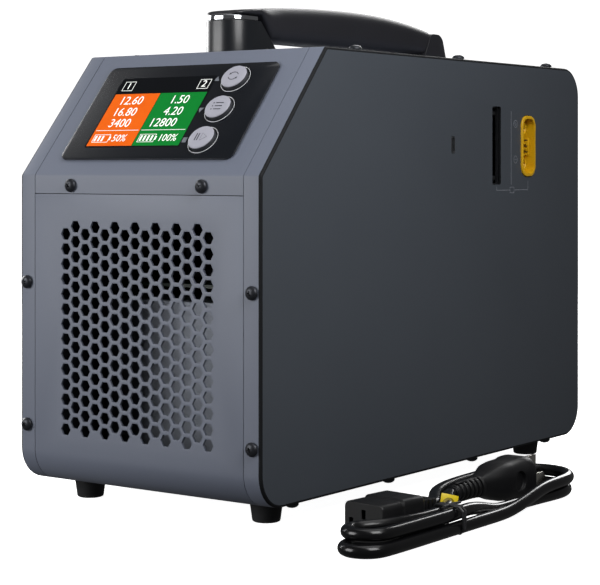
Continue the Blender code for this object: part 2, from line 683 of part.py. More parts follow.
def add_handle(plastic, chrome):
    base = BODY_TOP + GAP
    nose = HANDLE_WIDTH / 2 - 1 * MM
    rear = HANDLE_FRONT_Y + HANDLE_FOOT_LENGTH
    top_rear = rear - HANDLE_FOOT_TAPER
    half = HANDLE_WIDTH / 2
    rings = []
    for z, back in ((base, rear), (BODY_TOP + HANDLE_FOOT_HEIGHT, top_rear)):
        rings.append([(p.x, p.y, z) for p in handle_plan(HANDLE_FRONT_Y, back, half, nose)])
    add_object("handle_foot_front", loft(rings), plastic)

    trim_low = BODY_TOP + HANDLE_FOOT_HEIGHT + GAP
    outline = handle_plan(HANDLE_FRONT_Y + TRIM_INSET, top_rear - TRIM_INSET, half - TRIM_INSET,
                          nose - TRIM_INSET)
    add_object("handle_trim", prism(outline, trim_low, trim_low + TRIM_THICKNESS), chrome)

    front_face = HANDLE_REAR_Y - HANDLE_REAR_LENGTH
    lean = HANDLE_REAR_LEAN
    side = [(front_face, base), (HANDLE_REAR_Y, base),
            (HANDLE_REAR_Y - HANDLE_REAR_TAIL, BODY_TOP + HANDLE_REAR_TOP),
            (front_face + lean, BODY_TOP + HANDLE_REAR_TOP)]
    radii = [0.6 * MM, 0.6 * MM, 4.5 * MM, 2.5 * MM]
    outline = []
    for i in range(4):
        outline += fillet(side[i - 1], side[i], side[(i + 1) % 4], radii[i], 4)
    rings = [[(x, p.x, p.y) for p in outline] for x in (-half, half)]
    add_object("handle_foot_rear", loft(rings), plastic)

    seat = trim_low + TRIM_THICKNESS + GAP - BODY_TOP
    slope = HANDLE_FOOT_TAPER / HANDLE_FOOT_HEIGHT
    behind = rear - slope * GRIP_CLEARANCE + 3 * GAP
    rear_slope = lean / HANDLE_REAR_TOP
    rear_end = front_face - 3 * GAP
    tip = HANDLE_FRONT_Y + 4 * MM
    spans = [(tip, 0.55, 1.2 * MM), (tip + 1 * MM, 0.7, 0.4 * MM), (tip + 4 * MM, 0.92, 0.0),
             (tip + 9 * MM, 1.0, 0.0)]
    ys = [(y, share, lift, seat) for y, share, lift in spans]
    ys.append((top_rear + 2 * GAP, 1.0, 0.0, seat))
    ys.append((behind, 1.0, 0.0, GRIP_CLEARANCE))
    steps = 8
    for k in range(1, steps + 1):
        ys.append((behind + (rear_end - behind) * k / steps, 1.0, 0.0, GRIP_CLEARANCE))
    rings = []
    for y, share, lift, bottom in ys:
        top = grip_top(y) - lift
        shear = rear_slope * max(0.0, (y - 0.02) / (rear_end - 0.02))
        ring = []
        for k in range(16):
            angle = math.tau * k / 16
            wide, tall = math.cos(angle), math.sin(angle)
            x = half * share * math.copysign(abs(wide) ** 0.6, wide)
            z = (top + bottom) / 2 + (top - bottom) / 2 * math.copysign(abs(tall) ** 0.75, tall)
            ring.append((x, y + shear * z, BODY_TOP + z))
        rings.append(ring)
    add_object("handle_grip", loft(rings), plastic)


# ---------------------------------------------------------------- ports

def socket_solid(name, outline_of, front, back, collar, mat, matrix):
    """A socket body through a panel, with a wider collar behind the panel."""
    outer = outline_of(0.0)
    wide = outline_of(collar)
    panel_back = -SHEET - GAP
    rings = []
    for outline, z in ((outer, -back), (outer, panel_back - collar), (wide, panel_back - collar),
                       (wide, panel_back), (outer, panel_back), (outer, front)):
        rings.append([(p.x, p.y, z) for p in outline])
    return add_object(name, placed(loft(rings), matrix), mat)


def add_ports(yellow, black, steel):
    for side, sign in (("left", -1), ("right", 1)):
        matrix = side_matrix(sign, POWER_Y, PORT_Z)
        socket = socket_solid(f"power_socket_{side}", power_outline, POWER_PROUD, POWER_DEPTH, PORT_COLLAR,
                              yellow, matrix)
        floor = POWER_PROUD - POWER_RECESS
        recess = placed(prism(power_outline(-POWER_WALL), floor, POWER_PROUD + SHEET), matrix)
        boolean(socket, cutter(f"cut_power_{side}", recess), "DIFFERENCE")
        posts = []
        for sz in (-1, 1):
            post = turned([(POWER_POST_RADIUS, floor - 1 * MM), (POWER_POST_RADIUS, -0.8 * MM)], 14)
            posts.append(placed(post, matrix @ Matrix.Translation((0, sz * POWER_POST_SPACING / 2, 0))))
        boolean(socket, cutter(f"join_power_posts_{side}", merged(posts)), "UNION")

        matrix = side_matrix(sign, BALANCE_Y, PORT_Z)
        header = socket_solid(f"balance_socket_{side}", balance_outline, 0.0, BALANCE_DEPTH, PORT_COLLAR,
                              black, matrix)
        slot = rounded_rectangle(BALANCE_SLOT[1], BALANCE_SLOT[0], 0.4 * MM, 2)
        boolean(header, cutter(f"cut_balance_{side}", placed(prism(slot, -BALANCE_RECESS, SHEET), matrix)),
                "DIFFERENCE")

    matrix = side_matrix(1, USB_Y, PORT_Z)
    usb = socket_solid("usb_socket", usb_outline, 0.0, USB_DEPTH, 1 * MM, steel, matrix)
    mouth = rounded_rectangle(USB_SIZE[1] - 0.8 * MM, USB_SIZE[0] - 0.8 * MM, 0.5 * MM, 2)
    boolean(usb, cutter("cut_usb", placed(prism(mouth, -USB_DEPTH + 1 * MM, SHEET), matrix)), "DIFFERENCE")


def add_inlet(black):
    matrix = rear_matrix(0, INLET_Z)
    body = rounded_rectangle(*INLET_BODY, 2 * MM)
    flange = rounded_rectangle(*INLET_FLANGE, 2 * MM)
    flange_top = GAP + SCREW_HEAD_HEIGHT
    rings = []
    for outline, z in ((body, -INLET_DEPTH), (body, GAP), (flange, GAP), (flange, flange_top)):
        rings.append([(p.x, p.y, z) for p in outline])
    inlet = add_object("mains_inlet", placed(loft(rings), matrix), black)
    wall = 2 * INLET_WALL
    floor = flange_top - INLET_RECESS
    mouth = rounded_rectangle(INLET_BODY[0] - wall, INLET_BODY[1] - wall, 2 * MM)
    recess = placed(prism(mouth, floor, flange_top + SHEET), matrix)
    boolean(inlet, cutter("cut_inlet_recess", recess), "DIFFERENCE")
    pins = []
    for x, y in ((-7 * MM, -2 * MM), (7 * MM, -2 * MM), (0, 2.5 * MM)):
        pin = box_mesh((2 * MM, 4 * MM, 11 * MM), (x, y, floor + 4.5 * MM))
        pins.append(placed(pin, matrix))
    boolean(inlet, cutter("join_inlet_pins", merged(pins)), "UNION")


# ---------------------------------------------------------------- fans and inside

def add_fan(side, sign, frame_mat, rotor_mat):
    centre = (sign * FAN_X, REAR - SHEET - GAP - FAN_DEPTH / 2, FAN_Z)
    turn = Matrix.Translation(centre) @ Matrix.Rotation(math.radians(-90), 4, "X")
    outline = rounded_rectangle(FAN_SIZE, FAN_SIZE, 4 * MM)
    half = FAN_DEPTH / 2
    frame = add_object(f"fan_frame_{side}", placed(prism(outline, -half, half), turn), frame_mat)
    bore = placed(turned([(FAN_BORE, -half - MM), (FAN_BORE, half + MM)], 28), turn)
    boolean(frame, cutter(f"cut_fan_{side}", bore), "DIFFERENCE")
    web = 3 * MM
    arms = [turned([(FAN_HUB, -half), (FAN_HUB, -half + web)], 20)]
    spider = cutter(f"join_fan_hub_{side}", placed(arms[0], turn))
    struts = []
    for k in range(3):
        strut = box_mesh((FAN_BORE + 1 * MM - FAN_HUB / 2, 3 * MM, web * 0.8),
                         ((FAN_BORE + 1 * MM + FAN_HUB / 2) / 2, 0, -half + web * 0.4))
        struts.append(placed(strut, turn @ Matrix.Rotation(math.tau * k / 3, 4, "Z")))
    boolean(spider, cutter(f"join_fan_struts_{side}", merged(struts)), "UNION")
    boolean(frame, spider, "UNION")

    axle = bpy.data.objects.new(f"fan_axis_{side}", None)
    bpy.context.scene.collection.objects.link(axle)
    axle.matrix_world = turn
    low, high = -half + web + GAP, half - 2 * MM
    rotor = add_object(f"fan_rotor_{side}", turned([(FAN_HUB, low), (FAN_HUB, high - 1 * MM),
                                                    (FAN_HUB - 1 * MM, high)], 20), rotor_mat, axle)
    tip = FAN_BORE - FAN_TIP_CLEARANCE
    blades = []
    for k in range(FAN_BLADES):
        rings = []
        for radius, pitch in ((FAN_HUB - 2 * MM, 50), (tip * 0.75, 40), (tip * 0.985, 32)):
            chord = 0.62 * (high - low) / math.sin(math.radians(50))
            ring = []
            for u, v in ((-0.5, -0.6 * MM), (0.5, -0.6 * MM), (0.5, 0.6 * MM), (-0.5, 0.6 * MM)):
                angle = math.radians(pitch)
                along = u * chord
                y = along * math.cos(angle) - v * math.sin(angle)
                z = along * math.sin(angle) + v * math.cos(angle)
                ring.append((math.sqrt(max(radius ** 2 - y ** 2, 0)), y, (low + high) / 2 + z))
            rings.append(ring)
        blades.append(placed(loft(rings), Matrix.Rotation(math.tau * k / FAN_BLADES, 4, "Z")))
    boolean(rotor, cutter(f"join_blades_{side}", merged(blades), axle), "UNION")


def add_board_on_posts(name, size, y, seat, mat, blocks):
    """Circuit board on four posts; blocks are (x, y, width, length, height) of tall components."""
    board_low = seat + STANDOFF
    board = add_object(name, box_mesh((*size, BOARD_THICKNESS), (0, y, board_low + BOARD_THICKNESS / 2)), mat)
    overlap = 0.5 * MM
    parts = []
    for sx in (-1, 1):
        for sy in (-1, 1):
            parts.append(box_mesh((6 * MM, 6 * MM, STANDOFF + overlap),
                                  (sx * (size[0] / 2 - 6 * MM), y + sy * (size[1] / 2 - 6 * MM),
                                   seat + (STANDOFF + overlap) / 2)))
    for x, along, width, length, height in blocks:
        parts.append(box_mesh((width, length, height + overlap),
                              (x, y + along, board_low + BOARD_THICKNESS + (height - overlap) / 2)))
    boolean(board, cutter(f"join_{name}", merged(parts)), "UNION")


def add_inside(steel, board_mat, alloy):
    floor = BODY_BOTTOM + SHEET + GAP
    front = FRONT + SUPPLY_FRONT
    supply_centre = (0, front + SUPPLY_SIZE[1] / 2, floor + SUPPLY_SIZE[2] / 2)
    supply = add_object("power_supply_case", box_mesh(SUPPLY_SIZE, supply_centre, 0.5 * MM, 1), steel)
    hollow = [size - 2 * SUPPLY_WALL for size in SUPPLY_SIZE]
    opened = (hollow[0], hollow[1] + 2 * SUPPLY_WALL, hollow[2])
    boolean(supply, cutter("cut_supply", box_mesh(opened, (0, supply_centre[1] + SUPPLY_WALL, supply_centre[2]))),
            "DIFFERENCE")
    add_board_on_posts("supply_board", (hollow[0] - 8 * MM, hollow[1] - 20 * MM), supply_centre[1],
                       floor + SUPPLY_WALL + GAP, board_mat, SUPPLY_BLOCKS)

    deck = floor + SUPPLY_SIZE[2] + GAP
    board_z = deck + STANDOFF
    board_y = front + SUPPLY_SIZE[1] / 2 - 6 * MM
    add_board_on_posts("charge_board", CHARGE_BOARD, board_y, deck, board_mat, ())

    base = board_z + BOARD_THICKNESS + GAP
    width, length, height = HEATSINK
    profile = [(-width / 2, base), (width / 2, base)]
    pitch = (width - FIN_THICKNESS) / (HEATSINK_FINS - 1)
    for k in reversed(range(HEATSINK_FINS)):
        x = -width / 2 + k * pitch
        profile += [(x + FIN_THICKNESS, base + height), (x, base + height)]
        if k:
            profile += [(x, base + HEATSINK_BASE), (x - pitch + FIN_THICKNESS, base + HEATSINK_BASE)]
    rings = [[(x, board_y + sy * length / 2, z) for x, z in profile] for sy in (-1, 1)]
    add_object("heatsink", loft(rings), alloy, smooth=False)


# ---------------------------------------------------------------- mains lead

def add_connector(rubber):
    """Appliance connector with its moulded strain relief; local Y runs from mouth to cable."""
    width, length, height = CONNECTOR_BODY
    end = CORD_DIAMETER / 2 + 1 * MM
    sections = [(0, width * 0.95, height * 0.9), (length * 0.45, width * 0.95, height * 0.9),
                (length * 0.5, width, height), (length * 0.85, width, height),
                (length, width * 0.75, height * 0.8), (length, 2 * end + 3 * MM, 2 * end + 2 * MM),
                (length + CONNECTOR_RELIEF, 2 * end, 2 * end)]
    rings = []
    for y, wide, tall in sections:
        outline = rounded_rectangle(wide, tall, min(wide, tall) * 0.2, 3)
        rings.append([(p.x, y, height / 2 + p.y) for p in outline])
    turn = Matrix.Translation((*CONNECTOR_AT, 0)) @ Matrix.Rotation(CONNECTOR_TURN, 4, "Z")
    body = add_object("appliance_connector", placed(loft(rings), turn), rubber)
    slots = []
    for x, z in ((-7 * MM, -1.5 * MM), (7 * MM, -1.5 * MM), (0, 2.5 * MM)):
        slots.append(placed(box_mesh((2.4 * MM, 24 * MM, 4.4 * MM), (x, 0, height / 2 + z)), turn))
    boolean(body, cutter("cut_connector_slots", merged(slots)), "DIFFERENCE")


def add_plug(rubber):
    """Mains plug: ribbed strain relief, flared body and three flat blades; local Y to the blades."""
    width, length, height = PLUG_BODY
    end = CORD_DIAMETER / 2 + 1 * MM
    middle = height / 2
    sections = [(0, 2 * end, 2 * end), (PLUG_RELIEF, 2 * end + 4 * MM, 2 * end + 4 * MM),
                (PLUG_RELIEF, 2 * end + 5 * MM, 2 * end + 5 * MM),
                (PLUG_RELIEF + length * 0.35, width * 0.9, height * 0.92),
                (PLUG_RELIEF + length * 0.85, width * 0.92, height * 0.95),
                (PLUG_RELIEF + length * 0.87, width, height), (PLUG_RELIEF + length, width, height)]
    rings = []
    for y, wide, tall in sections:
        outline = rounded_rectangle(wide, tall, min(wide, tall) * 0.3, 4)
        rings.append([(p.x, y, middle + p.y) for p in outline])
    turn = Matrix.Translation((*PLUG_AT, 0))
    body = add_object("mains_plug", placed(loft(rings), turn), rubber)
    face = PLUG_RELIEF + length
    blades = []
    for x, z, tilt in ((-BLADE_SPACING, -3 * MM, 30), (BLADE_SPACING, -3 * MM, -30), (0, 5 * MM, 0)):
        place = turn @ Matrix.Translation((x, face + BLADE[1] / 2 - 1 * MM, middle + z))
        blade = box_mesh((BLADE[0], BLADE[1] + 2 * MM, BLADE[2]))
        blades.append(placed(blade, place @ Matrix.Rotation(math.radians(tilt), 4, "Y")))
    boolean(body, cutter("join_blades_plug", merged(blades)), "UNION")


def add_hank(rubber, yellow):
    """The folded lead: a long bundle that opens into a loop round the plug."""
    fold_x, fold_y, fold_radius = HANK_FOLD
    loop_x, loop_y, loop_half, loop_reach = HANK_LOOP
    entry_y = CONNECTOR_AT[1] + (CONNECTOR_BODY[1] + CONNECTOR_RELIEF) * math.cos(CONNECTOR_TURN) + 3 * GAP
    outline = []
    for k in range(9):
        angle = math.pi * (1 + k / 8)
        outline.append((fold_x + fold_radius * math.cos(angle), fold_y + fold_radius * math.sin(angle)))
    for k in range(13):
        angle = math.pi * k / 12
        outline.append((loop_x + loop_half * math.cos(angle), loop_y + loop_reach * math.sin(angle)))
    outline += HANK_FAR_SIDE
    outline += [(HANK_FAR_SIDE[-1][0], entry_y), (HANK_NEAR_SIDE[0][0] - 1 * MM, entry_y)]
    outline += HANK_NEAR_SIDE
    bm = prism(outline, 0, HANK_HEIGHT)
    hank = add_object("cord_hank", bm, rubber)

    wide = PLUG_BODY[0] / 2 + 3 * GAP
    neck = CORD_DIAMETER / 2 + 3 * MM
    plug_x, plug_y = PLUG_AT
    flare = plug_y + PLUG_RELIEF - 4 * MM
    tip = plug_y + PLUG_RELIEF + PLUG_BODY[1] + BLADE[1]
    hole = [(plug_x - neck, plug_y - GAP), (plug_x + neck, plug_y - GAP), (plug_x + wide, flare)]
    for k in range(11):
        angle = math.pi * k / 10
        hole.append((plug_x + wide * math.cos(angle), (tip + 8.4 * MM) * math.sin(angle) ** 0.8))
    hole.append((plug_x - wide, flare))
    boolean(hank, cutter("cut_hank_loop", prism(hole, -MM, HANK_HEIGHT + MM)), "DIFFERENCE")

    inner = (TIE_SPAN[0] - GAP, TIE_SPAN[1] + GAP)
    outer = (inner[0] - TIE_THICKNESS, inner[1] + TIE_THICKNESS)
    top = HANK_HEIGHT + GAP
    clip = [(outer[0], GAP), (inner[0], GAP), (inner[0], top), (inner[1], top), (inner[1], GAP),
            (outer[1], GAP), (outer[1], top + TIE_THICKNESS), (outer[0], top + TIE_THICKNESS)]
    rings = [[(x, TIE_Y + sy * TIE_WIDTH / 2, z) for x, z in clip] for sy in (-1, 1)]
    add_object("cord_tie", loft(rings), rubber, smooth=False)

    tag = box_mesh(TAG_SIZE, (*TAG_AT, HANK_HEIGHT + GAP + TAG_SIZE[2] / 2), 0.4 * MM)
    add_object("cord_tag", tag, yellow)


def main():
    clear_scene()
    paint = material("grey_paint", (0.17, 0.18, 0.22), 0.45)
    dark_paint = material("dark_grey_paint", (0.07, 0.075, 0.085), 0.45)
    black_plastic = material("black_plastic", (0.02, 0.02, 0.022), 0.4)
    glass = material("overlay_film", (0.01, 0.012, 0.015), 0.2)
    screen = material("screen", (0.2, 0.25, 0.15), 0.2)
    cap = material("grey_cap", (0.5, 0.5, 0.53), 0.4)
    board = material("board", (0.02, 0.12, 0.05), 0.5)
    chrome = material("chrome", (0.8, 0.8, 0.82), 0.1, 1.0)
    steel = material("plated_steel", (0.6, 0.6, 0.6), 0.35, 1.0)
    alloy = material("aluminium", (0.7, 0.7, 0.72), 0.4, 1.0)
    yellow = material("yellow_plastic", (0.9, 0.55, 0.02), 0.35)
    rubber = material("black_rubber", (0.015, 0.015, 0.015), 0.6)

    upper = add_case(paint, dark_paint)
    add_screws(black_plastic)
    add_feet(rubber)
    add_console(upper, glass, board, cap, screen)
    add_handle(black_plastic, chrome)
    add_ports(yellow, black_plastic, steel)
    add_inlet(black_plastic)
    for side, sign in (("left", -1), ("right", 1)):
        add_fan(side, sign, black_plastic, black_plastic)
    add_inside(steel, board, alloy)
    add_connector(rubber)
    add_plug(rubber)
    add_hank(rubber, yellow)


main()
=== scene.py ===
"""Looks of a twin-output balance battery charger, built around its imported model.

All lengths are metres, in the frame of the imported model: +X right, -Y front, +Z up, with
the floor at zero. Each sub-assembly is a class; main() builds them in order.
"""
import logging
import math
import random
from collections.abc import Iterable, Sequence
from dataclasses import dataclass, field
from enum import Enum

import bmesh
import bpy
from mathutils import Matrix, Vector


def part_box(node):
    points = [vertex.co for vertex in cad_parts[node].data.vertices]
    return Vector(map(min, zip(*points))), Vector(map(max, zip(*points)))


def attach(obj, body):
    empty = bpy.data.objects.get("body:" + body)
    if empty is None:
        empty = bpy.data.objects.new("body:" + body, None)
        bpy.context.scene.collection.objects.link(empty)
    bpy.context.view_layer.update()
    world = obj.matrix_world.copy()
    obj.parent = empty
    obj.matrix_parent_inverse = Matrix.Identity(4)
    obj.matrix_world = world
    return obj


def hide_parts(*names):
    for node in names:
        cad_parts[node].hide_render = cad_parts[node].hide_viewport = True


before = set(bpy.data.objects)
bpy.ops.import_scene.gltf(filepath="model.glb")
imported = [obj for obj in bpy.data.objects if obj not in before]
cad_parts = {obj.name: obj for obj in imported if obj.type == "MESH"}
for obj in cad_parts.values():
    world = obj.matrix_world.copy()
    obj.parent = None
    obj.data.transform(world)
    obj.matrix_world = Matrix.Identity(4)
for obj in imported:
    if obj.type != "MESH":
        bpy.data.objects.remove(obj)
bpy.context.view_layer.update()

logging.basicConfig(level=logging.INFO, format="%(name)s: %(message)s")
log = logging.getLogger("charger")

MM = 0.001
# Places closer than this count as one, in metres.
NEAR = 1e-6
Point = tuple[float, float]
Point3 = tuple[float, float, float]


# ---------------------------------------------------------------- materials

def linear(hex_colour: str) -> tuple[float, float, float, float]:
    """Turn an sRGB hex colour into linear RGBA."""
    channels = [int(hex_colour[i:i + 2], 16) / 255 for i in (1, 3, 5)]
    return (*[c / 12.92 if c <= 0.04045 else ((c + 0.055) / 1.055) ** 2.4 for c in channels], 1.0)


def add_node(tree: bpy.types.NodeTree, kind: str, inputs: dict | None = None, **settings) -> bpy.types.Node:
    """Add a node, set its properties and sockets, and link every value that is a socket.

    Args:
        tree: The node tree that gets the node.
        kind: The node's type, such as "ShaderNodeBump".
        inputs: Socket name or index, and its value or the socket that feeds it.
        settings: Properties of the node.
    Returns:
        The new node.
    """
    node = tree.nodes.new(kind)
    for name, value in settings.items():
        setattr(node, name, value)
    for key, value in (inputs or {}).items():
        if isinstance(value, bpy.types.NodeSocket):
            tree.links.new(value, node.inputs[key])
        else:
            node.inputs[key].default_value = value
    return node


@dataclass(frozen=True)
class Finish:
    """A surface: its colour and gloss, how they vary, and the relief its making leaves."""

    name: str
    colour: str
    shade: str
    roughness: float
    patch_mm: float = 30.0
    grain_mm: float = 0.8
    relief_mm: float = 0.01
    spread: float = 0.06
    metallic: float = 0.0
    ior: float = 1.5
    coat: float = 0.0
    glow: float = 0.0

    def height(self, tree: bpy.types.NodeTree, place: bpy.types.NodeSocket) -> bpy.types.NodeSocket:
        """Return the relief pattern, 0 to 1: here an even fine grain."""
        noise = add_node(tree, "ShaderNodeTexNoise",
                         {"Vector": place, "Scale": 1 / (self.grain_mm * MM), "Detail": 3.0,
                          "Roughness": 0.6})
        return noise.outputs["Fac"]

    def patches(self, tree: bpy.types.NodeTree, place: bpy.types.NodeSocket) -> bpy.types.NodeSocket:
        """Return the slow unevenness of the colour, 0 to 1."""
        noise = add_node(tree, "ShaderNodeTexNoise",
                         {"Vector": place, "Scale": 1 / (self.patch_mm * MM), "Detail": 4.0})
        return noise.outputs["Fac"]

    def build(self) -> bpy.types.Material:
        """Make the material once and return it."""
        made = bpy.data.materials.get(self.name)
        if made:
            return made
        material = bpy.data.materials.new(self.name)
        material.use_nodes = True
        tree = material.node_tree
        shader = tree.nodes["Principled BSDF"]
        place = add_node(tree, "ShaderNodeTexCoord").outputs["Object"]
        patches = self.patches(tree, place)
        height = self.height(tree, place)
        colour = add_node(tree, "ShaderNodeMix", {0: patches, 6: linear(self.colour), 7: linear(self.shade)},
                          data_type="RGBA")
        rough = add_node(tree, "ShaderNodeMapRange",
                         {"Value": height, "To Min": self.roughness - self.spread,
                          "To Max": self.roughness + self.spread})
        bump = add_node(tree, "ShaderNodeBump",
                        {"Height": height, "Distance": self.relief_mm * MM, "Strength": 1.0})
        tree.links.new(colour.outputs[2], shader.inputs["Base Color"])
        tree.links.new(rough.outputs["Result"], shader.inputs["Roughness"])
        tree.links.new(bump.outputs["Normal"], shader.inputs["Normal"])
        shader.inputs["Metallic"].default_value = self.metallic
        shader.inputs["IOR"].default_value = self.ior
        shader.inputs["Coat Weight"].default_value = self.coat
        shader.inputs["Coat Roughness"].default_value = 0.08
        if self.glow:
            tree.links.new(colour.outputs[2], shader.inputs["Emission Color"])
            shader.inputs["Emission Strength"].default_value = self.glow
        return material


@dataclass(frozen=True)
class Brushed(Finish):
    """A finish whose grain runs along one axis, as rolled, drawn or brushed metal has."""

    along: Point3 = (1.0, 0.04, 1.0)

    def height(self, tree: bpy.types.NodeTree, place: bpy.types.NodeSocket) -> bpy.types.NodeSocket:
        """Return streaks, long where the stretch is small."""
        mapping = add_node(tree, "ShaderNodeMapping", {"Vector": place, "Scale": self.along})
        return super().height(tree, mapping.outputs["Vector"])


@dataclass(frozen=True)
class SolderMask(Finish):
    """A circuit board: lacquer over a net of copper tracks."""

    track_mm: float = 2.5

    def patches(self, tree: bpy.types.NodeTree, place: bpy.types.NodeSocket) -> bpy.types.NodeSocket:
        """Return square-cornered track shapes."""
        cells = add_node(tree, "ShaderNodeTexVoronoi", {"Vector": place, "Scale": 1 / (self.track_mm * MM)},
                         distance="CHEBYCHEV")
        edge = add_node(tree, "ShaderNodeMapRange",
                        {"Value": cells.outputs["Distance"], "From Min": 0.30, "From Max": 0.36})
        return edge.outputs["Result"]


# Powder-coated steel: a matt, slightly rough paint skin with a fine orange peel.
GREY_COAT = Finish("powder_coat_grey", "#6d7382", "#676d7c", 0.50,
                   patch_mm=60, grain_mm=0.9, relief_mm=0.016)
# The same grey coat made darker on the flat of the side covers: painted shade, standing in for the shade on
# those faces.
SIDE_SHADE_COAT = Finish("powder_coat_grey_painted_shade", "#43484f", "#3e434a", 0.52,
                   patch_mm=60, grain_mm=0.9, relief_mm=0.016)
# A near-black copy of the coat over the sharp fold between a side plate and its flange: painted shade for the
# dark band along the bend.
FOLD_SHADE_COAT = Finish("powder_coat_fold_painted_shade", "#06080c", "#0b0e12", 0.7,
                   patch_mm=20, grain_mm=0.9, relief_mm=0.016, ior=1.35)
# Blackened steel screws: oily black oxide with a soft shine on worn edges.
BLACK_OXIDE = Finish("black_oxide_steel", "#26282c", "#383a40", 0.4,
                     patch_mm=2, grain_mm=0.3, relief_mm=0.006, spread=0.08, metallic=0.6)
# Moulded rubber: dull, with a bloom that greys it in patches.
FOOT_RUBBER = Finish("moulded_rubber", "#131416", "#1d1e21", 0.72, patch_mm=6, grain_mm=0.5, relief_mm=0.02)
# Moulded ABS, spark-eroded: black with an even matt grain.
MATT_ABS = Finish("moulded_abs_grained", "#1d1d21", "#232328", 0.46,
                  patch_mm=20, grain_mm=0.45, relief_mm=0.014)
# Moulded ABS out of a polished mould.
GLOSS_ABS = Finish("moulded_abs_polished", "#101216", "#15181c", 0.34,
                   patch_mm=20, grain_mm=6.0, relief_mm=0.02, spread=0.03, coat=0.1)
# Chromed ABS: a mirror with the faint waviness of the moulding below it.
CHROME = Finish("chromed_abs", "#d9dbe0", "#cfd2d8", 0.10,
                patch_mm=20, grain_mm=8.0, relief_mm=0.03, spread=0.03, metallic=1.0)
# Printed polyester overlay: a hard, smooth film with black ink behind it.
OVERLAY_FILM = Finish("polyester_film_black", "#0b0e14", "#0f131a", 0.24,
                      patch_mm=25, grain_mm=0.5, relief_mm=0.004, spread=0.03, ior=1.6, coat=0.25)
# Silicone rubber button caps: light grey on top, with a darker copy of the silicone on their sides as painted
# shade.
CAP_SILICONE = Finish("silicone_grey", "#a9a9b4", "#a0a0ac", 0.5, patch_mm=8, grain_mm=0.4, relief_mm=0.012)
CAP_SIDE_SHADE = Finish("silicone_grey_painted_shade", "#2a2c31", "#34363c", 0.5, patch_mm=8, grain_mm=0.4)
# Screen printing inks, which lie a few hundredths of a millimetre proud.
WHITE_INK = Finish("screen_ink_white", "#e6e8ec", "#dcdee2", 0.55, patch_mm=3, grain_mm=0.3, relief_mm=0.004)
GREY_INK = Finish("screen_ink_grey", "#777b83", "#6b6f77", 0.55, patch_mm=3, grain_mm=0.3, relief_mm=0.004)
DARK_INK = Finish("screen_ink_dark", "#22252b", "#2a2d34", 0.55, patch_mm=3, grain_mm=0.3, relief_mm=0.004)
# Lit areas of a colour liquid-crystal screen behind clear acrylic.
LCD_ORANGE = Finish("lcd_orange", "#e0620f", "#d8580a", 0.2,
                    patch_mm=12, grain_mm=0.35, relief_mm=0.002, spread=0.02, glow=0.3)
LCD_GREEN = Finish("lcd_green", "#067a2c", "#046e25", 0.2,
                   patch_mm=12, grain_mm=0.35, relief_mm=0.002, spread=0.02, glow=0.3)
LCD_WHITE = Finish("lcd_white", "#f4f5f2", "#e9ebe6", 0.2,
                   patch_mm=12, grain_mm=0.35, relief_mm=0.002, spread=0.02, glow=0.45)
LCD_BLACK = Finish("lcd_black", "#05070b", "#080b10", 0.16,
                   patch_mm=12, grain_mm=0.35, relief_mm=0.002, spread=0.02)
# Glass-filled nylon sockets: bright yellow and black, semi-matt.
YELLOW_NYLON = Finish("nylon_yellow", "#dcae14", "#cf9d0c", 0.38, patch_mm=5, grain_mm=0.5, relief_mm=0.012)
BLACK_NYLON = Finish("nylon_black", "#101113", "#191a1d", 0.42, patch_mm=5, grain_mm=0.5, relief_mm=0.012)
# Gold-flashed brass contacts and tinned pins.
BRASS = Brushed("gold_flashed_brass", "#c39a52", "#9c7636", 0.28,
                patch_mm=2, grain_mm=0.25, relief_mm=0.004, spread=0.08, metallic=1.0)
TINNED = Brushed("tinned_copper", "#c9ccd0", "#b2b6bb", 0.3,
                 patch_mm=2, grain_mm=0.25, relief_mm=0.004, spread=0.08, metallic=1.0)
# Nickel-plated brass plug blades: bright, drawn along their length.
NICKEL = Brushed("nickel_plate", "#dcd9d2", "#c4bfb4", 0.2,
                 patch_mm=3, grain_mm=0.3, relief_mm=0.004, spread=0.07, metallic=1.0)
# Plated steel of the service port's shell.
PORT_STEEL = Brushed("plated_steel", "#c8cacf", "#a9acb2", 0.3,
                     patch_mm=3, grain_mm=0.3, relief_mm=0.004, spread=0.08, metallic=1.0)
# Zinc-plated sheet of the supply's case: grey metal with large dull flowers.
ZINC_SHEET = Finish("zinc_plated_sheet", "#868a92", "#737881", 0.46,
                    patch_mm=9, grain_mm=3.0, spread=0.1, metallic=0.85)
# Extruded aluminium with die lines along its length.
ALUMINIUM = Brushed("extruded_aluminium", "#b4b7bb", "#9ea2a7", 0.38,
                    patch_mm=12, grain_mm=0.5, spread=0.1, metallic=0.9)
# Glass-epoxy circuit board under green lacquer.
CIRCUIT = SolderMask("glass_epoxy_board", "#10231b", "#173026", 0.35,
                     patch_mm=5, grain_mm=0.6, spread=0.05, ior=1.55)
# Glass-filled PBT of the fans: black with a dry sheen.
FAN_PBT = Finish("pbt_black", "#17181a", "#202124", 0.48, patch_mm=10, grain_mm=0.6)
# Soft PVC of the lead: black with a wet-looking gloss, handled and slightly dusty.
PVC_SHEATH = Finish("soft_pvc_sheath", "#09090a", "#0e0e10", 0.22,
                    patch_mm=9, grain_mm=6.0, relief_mm=0.03, spread=0.05, ior=1.42, coat=0.1)
PVC_MOULDED = Finish("soft_pvc_moulded", "#0b0b0d", "#111113", 0.46,
                     patch_mm=7, grain_mm=0.5, relief_mm=0.02, spread=0.07, ior=1.4)
# Vinyl tag and paper-covered wire tie.
YELLOW_VINYL = Finish("vinyl_yellow", "#ecd21c", "#dcbf10", 0.4, patch_mm=4)
TIE_PAPER = Finish("coated_tie_wire", "#1c1c1e", "#2b2b2e", 0.5, patch_mm=3, grain_mm=0.5, relief_mm=0.015)
# Matt painted studio floor.
FLOOR_PAINT = Finish("studio_floor_paint", "#f6f6f6", "#f4f4f4", 0.85,
                     patch_mm=400, grain_mm=3.0, relief_mm=0.005, glow=1.06)


# ---------------------------------------------------------------- mesh tools

